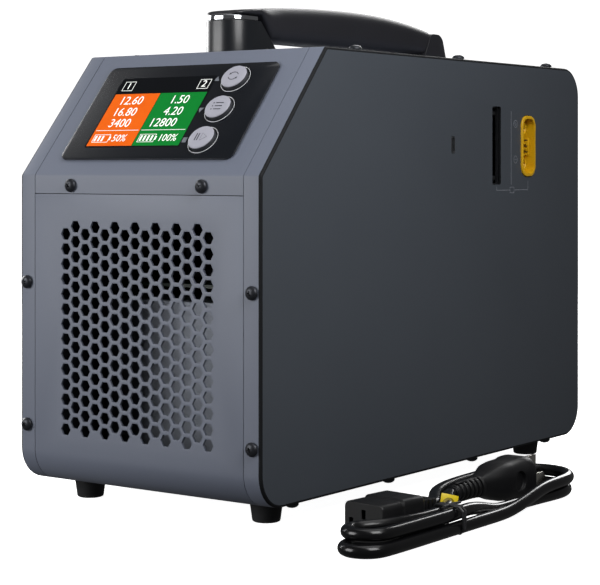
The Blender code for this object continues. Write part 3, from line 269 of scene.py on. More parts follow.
def placed(bm: bmesh.types.BMesh, matrix: Matrix) -> bmesh.types.BMesh:
    """Move a mesh by a matrix and return it."""
    bmesh.ops.transform(bm, matrix=matrix, verts=bm.verts)
    return bm


def shift(x: float = 0.0, y: float = 0.0, z: float = 0.0) -> Matrix:
    """Return a translation matrix."""
    return Matrix.Translation((x, y, z))


def turn(degrees: float, axis: str) -> Matrix:
    """Return a rotation matrix about a named axis."""
    return Matrix.Rotation(math.radians(degrees), 4, axis)


def slide(bm: bmesh.types.BMesh, geom: Iterable, by: Point3) -> None:
    """Move the vertices among some geometry, such as what an extrusion gives back."""
    bmesh.ops.translate(bm, vec=by, verts=[v for v in geom if isinstance(v, bmesh.types.BMVert)])


def pull_faces(bm: bmesh.types.BMesh, by: Point3) -> None:
    """Extrude every face of an open mesh, which closes it."""
    slide(bm, bmesh.ops.extrude_face_region(bm, geom=bm.faces[:])["geom"], by)


def pull_edges(bm: bmesh.types.BMesh, edges: Sequence[bmesh.types.BMEdge], by: Point3) -> None:
    """Extrude a line of edges into a strip of faces."""
    slide(bm, bmesh.ops.extrude_edge_only(bm, edges=edges)["geom"], by)


def edges_in_plane(bm: bmesh.types.BMesh, axis: int, value: float) -> list[bmesh.types.BMEdge]:
    """Return the edges that lie in a plane across an axis, where 0 is X and 2 is Z."""
    return [e for e in bm.edges if all(abs(v.co[axis] - value) < NEAR for v in e.verts)]


def round_corners(bm: bmesh.types.BMesh, verts: Sequence[bmesh.types.BMVert], radius: float,
                  segments: int) -> None:
    """Round some corners of a flat face."""
    bmesh.ops.bevel(bm, geom=list(verts), offset=radius, segments=segments, profile=0.5, affect="VERTICES",
                    material=-1)


def joined(meshes: Iterable[bmesh.types.BMesh]) -> bmesh.types.BMesh:
    """Return one mesh that holds copies of several, which are freed."""
    total = bmesh.new()
    for bm in meshes:
        mesh = bpy.data.meshes.new("part")
        bm.to_mesh(mesh)
        bm.free()
        total.from_mesh(mesh)
        bpy.data.meshes.remove(mesh)
    return total


def soften(bm: bmesh.types.BMesh, offset: float, segments: int = 2,
           edges: Sequence[bmesh.types.BMEdge] | None = None) -> bmesh.types.BMesh:
    """Round edges, all of them unless some are given, and return the mesh."""
    if offset:
        bmesh.ops.bevel(bm, geom=list(edges) if edges is not None else bm.edges[:], offset=offset,
                        segments=segments, profile=0.5, affect="EDGES", material=-1, clamp_overlap=True)
    return bm


def block(size: Point3, centre: Point3 = (0, 0, 0), bevel: float = 0.0,
          segments: int = 2) -> bmesh.types.BMesh:
    """Return a box with rounded edges."""
    bm = bmesh.new()
    bmesh.ops.create_cube(bm, size=1.0)
    bmesh.ops.scale(bm, vec=size, verts=bm.verts)
    bmesh.ops.translate(bm, vec=centre, verts=bm.verts)
    return soften(bm, bevel, segments)


def rounded_face(width: float, height: float, radius: float, segments: int = 6) -> bmesh.types.BMesh:
    """Return one flat rectangular face with round corners, in XY."""
    bm = bmesh.new()
    bmesh.ops.create_grid(bm, x_segments=1, y_segments=1, size=0.5)
    bmesh.ops.scale(bm, vec=(width, height, 1), verts=bm.verts)
    if radius:
        round_corners(bm, bm.verts[:], radius, segments)
    return bm


def plate(width: float, height: float, radius: float, low: float, high: float, segments: int = 6,
          edge: float = 0.0) -> bmesh.types.BMesh:
    """Return a slab with round corners between two heights, with its top edge softened.

    Args:
        width: Size along X.
        height: Size along Y.
        radius: Corner radius in plan.
        low: Height of the underside.
        high: Height of the top.
        segments: Steps in each corner.
        edge: Radius of the top edge.
    Returns:
        The mesh, centred in plan.
    """
    bm = rounded_face(width, height, radius, segments)
    bmesh.ops.translate(bm, vec=(0, 0, low), verts=bm.verts)
    pull_faces(bm, (0, 0, high - low))
    return soften(bm, edge, 2, edges_in_plane(bm, 2, high)) if edge else bm


def spun(profile: Sequence[Point], steps: int = 32) -> bmesh.types.BMesh:
    """Return a solid of revolution about Z from (radius, height) points."""
    bm = bmesh.new()
    verts = [bm.verts.new((radius, 0, z)) for radius, z in profile]
    edges = [bm.edges.new(pair) for pair in zip(verts, verts[1:])]
    bmesh.ops.spin(bm, geom=verts + edges, cent=(0, 0, 0), axis=(0, 0, 1), angle=math.tau, steps=steps,
                   use_merge=True, use_duplicate=False)
    return bm


def skinned(rings: Sequence[Sequence[Point3]]) -> bmesh.types.BMesh:
    """Bridge a row of closed rings of equal count into one skin, closed at both ends."""
    bm = bmesh.new()
    loops = []
    for ring in rings:
        verts = [bm.verts.new(point) for point in ring]
        loops.append([bm.edges.new((a, b)) for a, b in zip(verts, verts[1:] + verts[:1])])
    for first, second in zip(loops, loops[1:]):
        bmesh.ops.bridge_loops(bm, edges=first + second)
    bmesh.ops.contextual_create(bm, geom=loops[0])
    bmesh.ops.contextual_create(bm, geom=loops[-1])
    return bm


def bar(points: Sequence[Point3], radius: float, sides: int = 10, cyclic: bool = False) -> bmesh.types.BMesh:
    """Return a round bar swept along a path by a bevelled curve."""
    curve = bpy.data.curves.new("bar", "CURVE")
    curve.dimensions = "3D"
    curve.bevel_depth = radius
    curve.bevel_resolution = max(0, sides // 2 - 2)
    curve.use_fill_caps = True
    spline = curve.splines.new("POLY")
    spline.points.add(len(points) - 1)
    spline.use_cyclic_u = cyclic
    for target, point in zip(spline.points, points):
        target.co = (*point, 1.0)
    return mesh_of(curve)


def evaluated(obj: bpy.types.Object) -> bmesh.types.BMesh:
    """Return a working object's shape with its modifiers applied, and remove the object."""
    bpy.context.view_layer.update()
    mesh = bpy.data.meshes.new_from_object(obj.evaluated_get(bpy.context.evaluated_depsgraph_get()))
    bpy.data.objects.remove(obj)
    bm = bmesh.new()
    bm.from_mesh(mesh)
    bpy.data.meshes.remove(mesh)
    return bm


def mesh_of(curve: bpy.types.Curve) -> bmesh.types.BMesh:
    """Turn a curve or text into a mesh."""
    obj = bpy.data.objects.new("shape", curve)
    bpy.context.scene.collection.objects.link(obj)
    bm = evaluated(obj)
    bmesh.ops.remove_doubles(bm, verts=bm.verts, dist=1e-7)
    return bm


# The font's size over the height of its digits.
DIGIT_TO_FONT = 1.42


class Align(Enum):
    """Where a line of figures stands on its point."""

    LEFT = "LEFT"
    CENTRE = "CENTER"
    RIGHT = "RIGHT"


def figures(text: str, height: float, at: Point, align: Align = Align.CENTRE, lift: float = 0.0,
            thick: float = 0.00006, narrow: float = 1.0) -> bmesh.types.BMesh:
    """Return plain numerals as a thin raised mesh.

    Args:
        text: Digits and signs.
        height: Height of a digit.
        at: Where the line stands, at half its height.
        align: Which end of the line is at that point.
        lift: Height of the underside.
        thick: Thickness of the ink.
        narrow: Width share of the digits.
    Returns:
        The mesh in XY.
    """
    font = bpy.data.curves.new("figures", "FONT")
    font.body = text
    font.size = height * DIGIT_TO_FONT
    font.align_x = align.value
    font.align_y = "CENTER"
    font.resolution_u = 3
    font.extrude = thick / 2
    bm = mesh_of(font)
    return placed(bm, shift(at[0], at[1], lift + thick / 2) @ Matrix.Diagonal((narrow, 1, 1, 1)))


def working_object(bm: bmesh.types.BMesh) -> bpy.types.Object:
    """Turn a mesh into an object for a modifier, with its normals outwards, and free it."""
    bmesh.ops.remove_doubles(bm, verts=bm.verts, dist=NEAR)
    bmesh.ops.recalc_face_normals(bm, faces=bm.faces)
    mesh = bpy.data.meshes.new("carve")
    bm.to_mesh(mesh)
    bm.free()
    obj = bpy.data.objects.new("carve", mesh)
    bpy.context.scene.collection.objects.link(obj)
    return obj


def add_wall(obj: bpy.types.Object, thickness: float) -> None:
    """Give an open sheet its thickness, grown inwards."""
    solid = obj.modifiers.new("wall", "SOLIDIFY")
    solid.thickness = thickness
    solid.offset = -1.0
    solid.use_even_offset = True


def walled(bm: bmesh.types.BMesh, thickness: float) -> bmesh.types.BMesh:
    """Return an open sheet with its thickness, and free the sheet."""
    obj = working_object(bm)
    add_wall(obj, thickness)
    return evaluated(obj)


def carve(bm: bmesh.types.BMesh, tools: bmesh.types.BMesh, wall: float = 0.0) -> bmesh.types.BMesh:
    """Cut one closed mesh, or several apart, out of another.

    Args:
        bm: The mesh that is cut, which is freed.
        tools: The mesh that cuts, which is freed.
        wall: Thickness grown inwards on an open sheet before it is cut.
    Returns:
        What is left.
    """
    blank, cutter = working_object(bm), working_object(tools)
    if wall:
        add_wall(blank, wall)
    cut = blank.modifiers.new("cut", "BOOLEAN")
    cut.operation = "DIFFERENCE"
    cut.solver = "EXACT"
    cut.object = cutter
    left = evaluated(blank)
    bpy.data.objects.remove(cutter)
    return left


def make_piece(name: str, bm: bmesh.types.BMesh, finish: Finish, body: str = "case",
               nodes: Sequence[str] = (), sharp: float = 35.0, wall: float = 0.0,
               edge: float = 0.0, also: Sequence[Finish] = ()) -> bpy.types.Object:
    """Finish a mesh as a named piece of the object.

    Args:
        name: The piece's name.
        bm: Its mesh in the object's frame, which is freed.
        finish: Its surface.
        body: The body that it moves with.
        nodes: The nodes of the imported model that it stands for.
        sharp: Edges over this angle stay crisp, in degrees.
        wall: Thickness of a sheet, grown inwards.
        edge: Width of a bevel on crisp edges.
        also: Finishes of the faces whose material index is 1 and up.
    Returns:
        The new object.
    """
    bmesh.ops.remove_doubles(bm, verts=bm.verts, dist=NEAR)
    bmesh.ops.recalc_face_normals(bm, faces=bm.faces)
    mesh = bpy.data.meshes.new(name)
    bm.to_mesh(mesh)
    bm.free()
    mesh.shade_smooth()
    mesh.set_sharp_from_angle(angle=math.radians(sharp))
    for each in (finish, *also):
        mesh.materials.append(each.build())
    obj = bpy.data.objects.new(name, mesh)
    bpy.context.scene.collection.objects.link(obj)
    if wall:
        add_wall(obj, wall)
    if edge:
        bevel = obj.modifiers.new("edge", "BEVEL")
        bevel.width = edge
        bevel.segments = 2
        bevel.limit_method = "ANGLE"
        bevel.angle_limit = math.radians(max(sharp, 30.0))
    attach(obj, body)
    if nodes:
        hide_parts(*nodes)
    log.info("%s: %d faces, rides on %s", name, len(mesh.polygons), body)
    return obj


def dress(node: str, finish: Finish) -> None:
    """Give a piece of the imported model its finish."""
    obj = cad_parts[node]
    obj.data.materials.clear()
    obj.data.materials.append(finish.build())
    log.info("%s: kept from the packed model", node)


# ---------------------------------------------------------------- sizes shared by the sub-assemblies

@dataclass(frozen=True)
class Case:
    """The case's outer planes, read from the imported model, and the sheet it is bent from."""

    front: float
    rear: float
    bottom: float
    top: float
    side: float
    seam: float
    slope_run: float = 50 * MM
    slope_rise: float = 59 * MM
    sheet: float = 1.2 * MM
    gap: float = 0.3 * MM
    corner: float = 16 * MM
    flange: float = 9.4 * MM

    @classmethod
    def of_frame(cls) -> "Case":
        """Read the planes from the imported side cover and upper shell."""
        low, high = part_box("side_cover_right")
        return cls(low.y, high.y, low.z, high.z, high.x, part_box("upper_shell")[0].z)

    @property
    def slope_z(self) -> float:
        """Height of the line where the slope meets the front."""
        return self.top - self.slope_rise

    @property
    def console(self) -> Matrix:
        """Frame on the slope: local X right, Y up the slope, Z out of its face."""
        slope = math.atan2(self.slope_rise, self.slope_run)
        return shift(0, self.front, self.slope_z) @ Matrix.Rotation(slope, 4, "X")

    def side_place(self, sign: int, y: float, z: float) -> Matrix:
        """Frame on a side plate: local Y up, Z outwards."""
        axes = Matrix(((0, 0, sign), (sign, 0, 0), (0, 1, 0)))
        return shift(sign * self.side, y, z) @ axes.to_4x4()

    def rear_place(self, x: float, z: float) -> Matrix:
        """Frame on the rear panel: local X to the left, Y up, Z outwards."""
        axes = Matrix(((-1, 0, 0), (0, 0, 1), (0, 1, 0)))
        return shift(x, self.rear, z) @ axes.to_4x4()


def centre_of(node: str) -> Vector:
    """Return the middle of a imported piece's box."""
    low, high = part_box(node)
    return (low + high) / 2


# ---------------------------------------------------------------- mains lead

@dataclass
class MainsLead:
    """The folded mains lead on the floor: connector, cable in a tied hank, and plug."""

    diameter: float = 5.8 * MM
    low: float = 3.0 * MM
    high: float = 8.9 * MM
    step: float = 2.5 * MM
    connector_at: Point = (113.5 * MM, -131 * MM)
    connector_turn: float = -6.0
    connector_size: Point3 = (23 * MM, 30 * MM, 17 * MM)
    connector_relief: float = 17 * MM
    plug_at: Point = (115 * MM, -60 * MM)
    plug_height: float = 10 * MM
    plug_relief: float = 24 * MM
    plug_size: Point3 = (22 * MM, 38 * MM, 20 * MM)
    connector_ribs: int = 5
    plug_ribs: int = 7
    blade: Point3 = (1.6 * MM, 18 * MM, 6.3 * MM)
    tie_y: float = -96.5 * MM
    tie_wire: float = 0.65 * MM
    tag: Point3 = (0.5 * MM, 8.4 * MM, 5.2 * MM)
    smoothings: int = 6

    def route(self) -> list[Vector]:
        """Return the route's own points, from the connector's relief to the plug's.

        Returns:
            Listed points of two turns: a loop round the plug's blades at one end and a
            fold in front of the connector at the other, the second turn on the first.
        """
        low, high = self.low, self.high
        points = [(118.4, -84.3, 8.5), (118.0, -80.0, 8.6), (113.4, -72.5, high / MM),
                  (107.4, -63.0, high / MM), (102.6, -52.0, high / MM), (99.6, -38.0, high / MM),
                  (98.2, -20.0, high / MM)]
        points += self.bow(117.5, 6, 19.5, 25, 170, 10, high)
        points += [(138.2, -14, 8.5), (139.4, -34, 5.6), (139.8, -52, 3.2), (139.8, -80, low / MM),
                   (139.8, -110, low / MM), (139.8, -136, low / MM)]
        points += self.bow(130.2, -154.6, 9.6, 9.6, 15, -195, low)
        points += [(125.4, -141, low / MM), (130.0, -127, low / MM), (131.6, -112, low / MM),
                   (131.0, -98, low / MM), (126.8, -87, low / MM), (119.8, -76.5, low / MM),
                   (111.2, -66.5, low / MM), (104.0, -54.5, low / MM), (99.8, -39, low / MM),
                   (98.2, -20, low / MM)]
        points += self.bow(117.5, 6, 18.3, 24, 170, 10, low)
        points += [(134.4, -14, 3.1), (133.7, -34, 3.2), (133.8, -52, 3.5), (134.8, -68, 6.7),
                   (137.0, -82, 8.8), (138.4, -97, high / MM), (138.6, -112, high / MM),
                   (138.2, -134, high / MM)]
        points += self.bow(128.6, -150, 9.6, 9.6, 15, -195, high)
        points += [(125.8, -137.5, high / MM), (130.2, -124, high / MM), (131.8, -111, high / MM),
                   (131.6, -98, high / MM), (128.6, -87.5, 9.0), (123.6, -77, 9.3), (118.2, -68.6, 9.7),
                   (115.1, -62.5, 10.0), (115.0, -60.3, 10.0)]
        return [Vector(point) * MM for point in points]

    @staticmethod
    def bow(x: float, y: float, wide: float, long: float, start: float, end: float, z: float) -> list[Point3]:
        """Return six points of an arc in millimetres, between two angles in degrees."""
        angles = [math.radians(start + (end - start) * k / 5) for k in range(6)]
        return [(x + wide * math.cos(a), y + long * math.sin(a), z / MM) for a in angles]

    def centreline(self) -> list[Vector]:
        """Return close, evenly smoothed points of the cable's centreline."""
        knots = self.route()
        knots = [2 * knots[0] - knots[1], *knots, 2 * knots[-1] - knots[-2]]
        line = []
        for before, start, end, after in zip(knots, knots[1:], knots[2:], knots[3:]):
            count = max(2, round((end - start).length / self.step))
            for k in range(count):
                t = k / count
                square = (2 * before - 5 * start + 4 * end - after) * t ** 2
                cube = (3 * start - before - 3 * end + after) * t ** 3
                line.append(0.5 * (2 * start + (end - before) * t + square + cube))
        line.append(knots[-2])
        for _ in range(self.smoothings):
            line[1:-1] = [(a + 2 * b + c) / 4 for a, b, c in zip(line, line[1:], line[2:])]
        return line

    def build(self) -> None:
        connector = self.build_connector()
        plug = self.build_plug()
        blades = self.build_blades()
        tie = self.build_tie()
        tag = self.build_tag()
        cable = self.build_cable()
        line = self.centreline()

    def build_cable(self) -> bpy.types.Object:
        """Return the round sheathed cable as one bevelled curve."""
        curve = bpy.data.curves.new("mains_cable", "CURVE")
        curve.dimensions = "3D"
        curve.bevel_depth = self.diameter / 2
        curve.bevel_resolution = 6
        curve.use_fill_caps = True
        spline = curve.splines.new("POLY")
        line = self.centreline()
        spline.points.add(len(line) - 1)
        for target, point in zip(spline.points, line):
            target.co = (*point, 1.0)
        spline.use_smooth = True
        curve.materials.append(PVC_SHEATH.build())
        cable = bpy.data.objects.new("mains_cable", curve)
        bpy.context.scene.collection.objects.link(cable)
        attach(cable, "case")
        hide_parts("cord_hank")
        return cable

    def shell(self, sections: Sequence[tuple[float, float, float]], middle: float, round_share: float,
              corner_steps: int = 4) -> bmesh.types.BMesh:
        """Bridge rounded rectangles along local Y.

        Args:
            sections: (distance along Y, width, height) of each section.
            middle: Height of the sections' centre.
            round_share: Corner radius as a share of each section's smaller side.
            corner_steps: Steps in each corner.
        Returns:
            The closed mesh.
        """
        rings = []
        for y, wide, tall in sections:
            face = rounded_face(wide, tall, min(wide, tall) * round_share, corner_steps)
            loop = [vert.co.copy() for vert in face.faces[:][0].verts]
            face.free()
            rings.append([(p.x, y, middle + p.y) for p in loop])
        return skinned(rings)

    def build_connector(self) -> bpy.types.Object:
        """Return the appliance connector with its stepped body and slotted relief."""
        width, length, height = self.connector_size
        end = self.diameter / 2 + 1 * MM
        body = self.shell([(0, width * 0.92, height * 0.86), (0.6 * MM, width * 0.95, height * 0.9),
                           (length * 0.45, width * 0.95, height * 0.9), (length * 0.48, width, height),
                           (length * 0.9, width, height), (length * 0.96, width * 0.94, height * 0.95),
                           (length, width * 0.8, height * 0.8)], height / 2, 0.16)
        ribs = []
        pitch = self.connector_relief / self.connector_ribs
        for k in range(self.connector_ribs):
            share = 1 - k / self.connector_ribs
            wide = 2 * end + 3 * MM * share
            ribs.append(block((wide, pitch * 0.62, 2 * end + 2 * MM * share),
                              (0, length + pitch * (k + 0.45), height / 2), 0.5 * MM, 2))
        core = self.connector_relief - 0.3 * MM
        ribs.append(placed(spun([(0, 0), (end * 0.86, 0), (end * 0.84, core), (0, core)], 20),
                           shift(0, length - 0.5 * MM, height / 2) @ turn(-90, "X")))
        grips = [block((width * 0.7, 0.9 * MM, 0.5 * MM),
                       (0, length * (0.56 + 0.085 * k), height - 0.2 * MM), 0.18 * MM) for k in range(4)]
        slots = [block((2.2 * MM, 16 * MM, 4.2 * MM), (x, 0, height / 2 + z), 0.2 * MM)
                 for x, z in ((-7 * MM, -1.5 * MM), (7 * MM, -1.5 * MM), (0, 2.5 * MM))]
        body = carve(body, joined(slots))
        place = shift(*self.connector_at, 0) @ turn(self.connector_turn, "Z")
        mesh = placed(joined([body, *ribs, *grips]), place)
        return make_piece("appliance_connector_body", mesh, PVC_MOULDED, nodes=["appliance_connector"],
                          edge=0.25 * MM)

    def build_plug(self) -> bpy.types.Object:
        """Return the moulded plug: ribbed relief, flared body and grip hollows."""
        width, length, height = self.plug_size
        end = self.diameter / 2 + 0.7 * MM
        start = self.plug_relief
        flare = self.shell([(start - 2 * MM, width * 0.42, height * 0.46),
                            (start + 1 * MM, width * 0.46, height * 0.5),
                            (start + length * 0.16, width * 0.62, height * 0.66),
                            (start + length * 0.34, width * 0.84, height * 0.86),
                            (start + length * 0.5, width * 0.9, height * 0.92),
                            (start + length * 0.8, width * 0.92, height * 0.94),
                            (start + length * 0.84, width, height * 0.99),
                            (start + length * 0.97, width, height * 0.99),
                            (start + length, width * 0.95, height * 0.94)], self.plug_height, 0.34, 6)
        dents = [placed(spun([(0, 0), (5.4 * MM, 0), (4.6 * MM, 3 * MM), (0, 3 * MM)], 24),
                        shift(sign * (width * 0.46 + 1.4 * MM), start + length * 0.62, self.plug_height)
                        @ turn(-90 * sign, "Y")) for sign in (-1, 1)]
        flare = carve(flare, joined(dents))
        ribs = []
        pitch = start / self.plug_ribs
        for k in range(self.plug_ribs):
            radius = end + 1.5 * MM * (k + 1) / self.plug_ribs
            rib = spun([(0, 0), (radius - 0.4 * MM, 0), (radius, 0.35 * MM), (radius, pitch * 0.5),
                        (radius - 0.4 * MM, pitch * 0.62), (0, pitch * 0.62)], 24)
            ribs.append(placed(rib, shift(0, pitch * (k + 0.2), self.plug_height) @ turn(-90, "X")))
        ribs.append(placed(spun([(0, 0), (end * 0.9, 0), (end * 1.1, start), (0, start)], 20),
                           shift(0, 0.2 * MM, self.plug_height) @ turn(-90, "X")))
        spines = [block((2.4 * MM, start * 0.8, 1.0 * MM),
                        (0, start * 0.52, self.plug_height + side * 4.2 * MM), 0.3 * MM) for side in (-1, 1)]
        mesh = placed(joined([flare, *ribs, *spines]), shift(*self.plug_at, 0))
        return make_piece("plug_body", mesh, PVC_MOULDED, nodes=["mains_plug"],
                          edge=0.2 * MM)

    def build_blades(self) -> bpy.types.Object:
        """Return the plug's three flat blades with rounded tips."""
        face = self.plug_relief + self.plug_size[1]
        wide, long, tall = self.blade
        blades = []
        for x, z, tilt in ((-5.6 * MM, -3 * MM, 30), (5.6 * MM, -3 * MM, -30), (0, 5 * MM, 0)):
            blade = block((wide, long, tall))
            tips = [e for e in blade.edges if all(v.co.y > 0 for v in e.verts)]
            soften(blade, 0.7 * MM, 3, tips)
            place = shift(x, face + long / 2 - 0.2 * MM, self.plug_height + z) @ turn(tilt, "Y")
            blades.append(placed(blade, place))
        mesh = placed(joined(blades), shift(*self.plug_at, 0))
        return make_piece("plug_blades", mesh, NICKEL, edge=0.12 * MM)

    def build_tie(self) -> bpy.types.Object:
        """Return the twisted wire tie round the hank."""
        low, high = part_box("cord_tie")
        left, right = low.x + 0.9 * MM, high.x - 0.9 * MM
        top = self.high + self.diameter / 2 + 0.7 * MM
        bottom, corner, lean = 0.7 * MM, 2 * MM, 0.9 * MM
        corners = [(left, bottom + corner), (left, top - corner), (left + corner, top), (right - corner, top),
                   (right, top - corner), (right, bottom + corner), (right - corner, bottom),
                   (left + corner, bottom)]
        wires = []
        for side in (-1, 1):
            path = [(x, self.tie_y + side * lean * (0.4 + (z - bottom) / (top - bottom)), z)
                    for x, z in corners]
            wires.append(bar(path, self.tie_wire, 8, cyclic=True))
        for side in (-1, 1):
            path = [(left + 7 * MM, self.tie_y, top - 0.2 * MM),
                    (left + 8.5 * MM, self.tie_y + side * 2 * MM, top + 0.5 * MM),
                    (left + 9 * MM, self.tie_y + side * 7 * MM, top + 0.4 * MM)]
            wires.append(bar(path, 0.6 * MM, 8))
        return make_piece("wire_tie", joined(wires), TIE_PAPER, nodes=["cord_tie"])

    def build_tag(self) -> bpy.types.Object:
        """Return the yellow vinyl tag, which curls as it stands up beside the plug's relief."""
        low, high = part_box("cord_tag")
        flag = block(self.tag, (0, 0, 0), 0.15 * MM)
        long_edges = [e for e in flag.edges if abs(e.verts[0].co.y - e.verts[1].co.y) > self.tag[1] / 2]
        bmesh.ops.subdivide_edges(flag, edges=long_edges, cuts=6)
        curl = 22.0
        for vert in flag.verts:
            vert.co.x -= curl * vert.co.y ** 2
        at = shift((low.x + high.x) / 2 + 3.3 * MM, (low.y + high.y) / 2 - 6.1 * MM, high.z - 3.0 * MM)
        place = at @ turn(-38, "Z") @ turn(-14, "X") @ turn(-12, "Y")
        return make_piece("cord_tag_flag", placed(flag, place), YELLOW_VINYL, nodes=["cord_tag"])


# ---------------------------------------------------------------- case

@dataclass
class Grille:
    """Staggered hexagonal holes with flats above and below."""

    pitch: float = 7.1 * MM
    across: float = 5.35 * MM
    columns: int = 15
    rows: int = 14
    top: float = 27.9 * MM

    def centres(self) -> list[Point]:
        """Return the holes' centres, from the middle column's axis and the slope line down."""
        column = self.pitch * math.sqrt(3) / 2
        stagger = self.pitch / 2
        middle = (self.columns - 1) / 2
        return [((i - middle) * column, -self.top + (stagger if i % 2 else 0) - j * self.pitch)
                for i in range(self.columns) for j in range(self.rows)]

    def panel(self, width: float, low: float, high: float) -> bmesh.types.BMesh:
        """Return a flat rectangle in XY, holed like a honeycomb, with the slope line at zero.

        Args:
            width: Width of the rectangle.
            low: Its lower edge.
            high: Its upper edge.
        Returns:
            The open mesh.
        """
        bm = bmesh.new()
        for x, y in self.centres():
            bmesh.ops.create_circle(bm, cap_ends=True, segments=6, radius=self.pitch / math.sqrt(3),
                                    matrix=shift(x, y) @ turn(30, "Z"))
        bmesh.ops.remove_doubles(bm, verts=bm.verts, dist=10 * NEAR)
        cells = bm.faces[:]
        rim = [edge for edge in bm.edges if edge.is_boundary]
        half = width / 2
        corners = [bm.verts.new((x, y, 0))
                   for x, y in ((-half, low), (half, low), (half, high), (-half, high))]
        rim += [bm.edges.new((a, b)) for a, b in zip(corners, corners[1:] + corners[:1])]
        bmesh.ops.triangle_fill(bm, edges=rim, use_beauty=True, normal=(0, 0, 1))
        bmesh.ops.inset_individual(bm, faces=cells, thickness=(self.pitch - self.across) / 2,
                                   use_even_offset=True)
        bmesh.ops.delete(bm, geom=cells, context="FACES")
        return bm


@dataclass
class Fans:
    """Two axial fans behind round patches of hexagonal holes, and the rotors' running gap."""

    size: float = 60 * MM
    depth: float = 25 * MM
    bore: float = 28.5 * MM
    hub: float = 14 * MM
    blades: int = 7
    web: float = 3 * MM
    tip_gap: float = 1.0 * MM
    root_pitch: float = 50.0
    tip_pitch: float = 30.0
    mount_inset: float = 5 * MM
    pitch: float = 9.4 * MM
    across: float = 7.2 * MM
    grille_radius: float = 24 * MM

    def grille_centres(self) -> list[Point]:
        """Return the hole centres of one fan's grille."""
        column = self.pitch * math.sqrt(3) / 2
        reach = int(self.grille_radius / column) + 1
        places = [(i * column, j * self.pitch + (self.pitch / 2 if i % 2 else 0))
                  for i in range(-reach, reach + 1) for j in range(-reach, reach + 1)]
        return [(x, z) for x, z in places if math.hypot(x, z) <= self.grille_radius]

    def build(self) -> None:
        """Build both frames and both rotors."""
        for side in ("left", "right"):
            centre = centre_of(f"fan_frame_{side}")
            place = Matrix.Translation(centre) @ turn(-90, "X")
            self.build_frame(side, place)
            self.build_rotor(side, place)

    def build_frame(self, side: str, place: Matrix) -> None:
        """Build a square frame with a flared bore, corner holes, hub plate and three struts."""
        half = self.depth / 2
        frame_mesh = plate(self.size, self.size, 4 * MM, -half, half)
        flare = 1.6 * MM
        bore = spun([(0, -half - MM), (self.bore + flare, -half - MM), (self.bore + flare, -half),
                     (self.bore, -half + 2.5 * MM), (self.bore, half - 2.5 * MM), (self.bore + flare, half),
                     (self.bore + flare, half + MM), (0, half + MM)], 48)
        mount = self.size / 2 - self.mount_inset
        drill = [(0, -half - MM), (2.1 * MM, -half - MM), (2.1 * MM, half + MM), (0, half + MM)]
        holes = [placed(spun(drill, 16), shift(right * mount, up * mount)) for right in (-1, 1)
                 for up in (-1, 1)]
        waist = []
        for k in range(4):
            notch = block((self.size * 0.62, 3.4 * MM, self.depth - 9 * MM), (0, self.size / 2 + 0.6 * MM, 0),
                          0.8 * MM)
            waist.append(placed(notch, turn(90 * k, "Z")))
        frame_mesh = carve(frame_mesh, joined([bore, *holes, *waist]))
        hub = spun([(0, -half), (self.hub - 0.6 * MM, -half), (self.hub, -half + 0.6 * MM),
                    (self.hub, -half + self.web), (0, -half + self.web)], 32)
        struts = []
        for k in range(3):
            reach = self.bore + 1 * MM - self.hub / 2
            strut = block((reach, 3 * MM, self.web * 0.8),
                          (self.hub / 2 + reach / 2, 0, -half + self.web * 0.45), 0.4 * MM)
            struts.append(placed(strut, turn(120 * k, "Z")))
        mesh = placed(joined([frame_mesh, hub, *struts]), place)
        make_piece(f"fan_housing_{side}", mesh, FAN_PBT, nodes=[f"fan_frame_{side}"])

    def build_rotor(self, side: str, place: Matrix) -> None:
        """Build a cupped hub with curved, twisted blades of real thickness."""
        half = self.depth / 2
        low, high = -half + self.web + 0.4 * MM, half - 2 * MM
        hub = spun([(0, low), (self.hub, low), (self.hub, high - 1.5 * MM),
                    (self.hub - 0.5 * MM, high - 0.5 * MM), (self.hub - 1.5 * MM, high),
                    (self.hub * 0.5, high), (self.hub * 0.5, high - 0.4 * MM), (0, high - 0.4 * MM)], 40)
        sections = [self.blade_section(share, low, high) for share in (0.0, 0.25, 0.5, 0.75, 1.0)]
        blades = [placed(skinned(sections), turn(360 / self.blades * k, "Z")) for k in range(self.blades)]
        make_piece(f"rotor_{side}", placed(joined([hub, *blades]), place), FAN_PBT, f"fan_rotor_{side}",
                   nodes=[f"fan_rotor_{side}"], sharp=40)

    def blade_section(self, share: float, low: float, high: float) -> list[Point3]:
        """Return a blade's cambered section, rolled round the axis.

        Args:
            share: Place along the blade, 0 at the root and 1 at the tip.
            low: Lowest height that the blade may reach.
            high: Highest.
        Returns:
            The closed ring of points.
        """
        root, tip = self.hub - 1.5 * MM, (self.bore - self.tip_gap) * 0.985
        radius = root + (tip - root) * share
        pitch = math.radians(self.root_pitch + (self.tip_pitch - self.root_pitch) * share)
        chord = (high - low) * 0.9 / math.sin(math.radians(self.root_pitch))
        middle = (low + high) / 2
        upper, lower = [], []
        for i in range(7):
            u = i / 6 - 0.5
            camber = 1.6 * MM * (1 - 4 * u * u)
            thick = 0.75 * MM * (1 - 3.2 * u * u) + 0.15 * MM
            for line, v in ((upper, camber + thick), (lower, camber - thick)):
                y = u * chord * math.cos(pitch) - v * math.sin(pitch)
                z = middle + u * chord * math.sin(pitch) + v * math.cos(pitch)
                z = min(max(z, low + 0.2 * MM), high - 0.3 * MM)
                line.append((math.sqrt(max(radius ** 2 - y ** 2, 0)), y, z))
        return upper + lower[::-1]


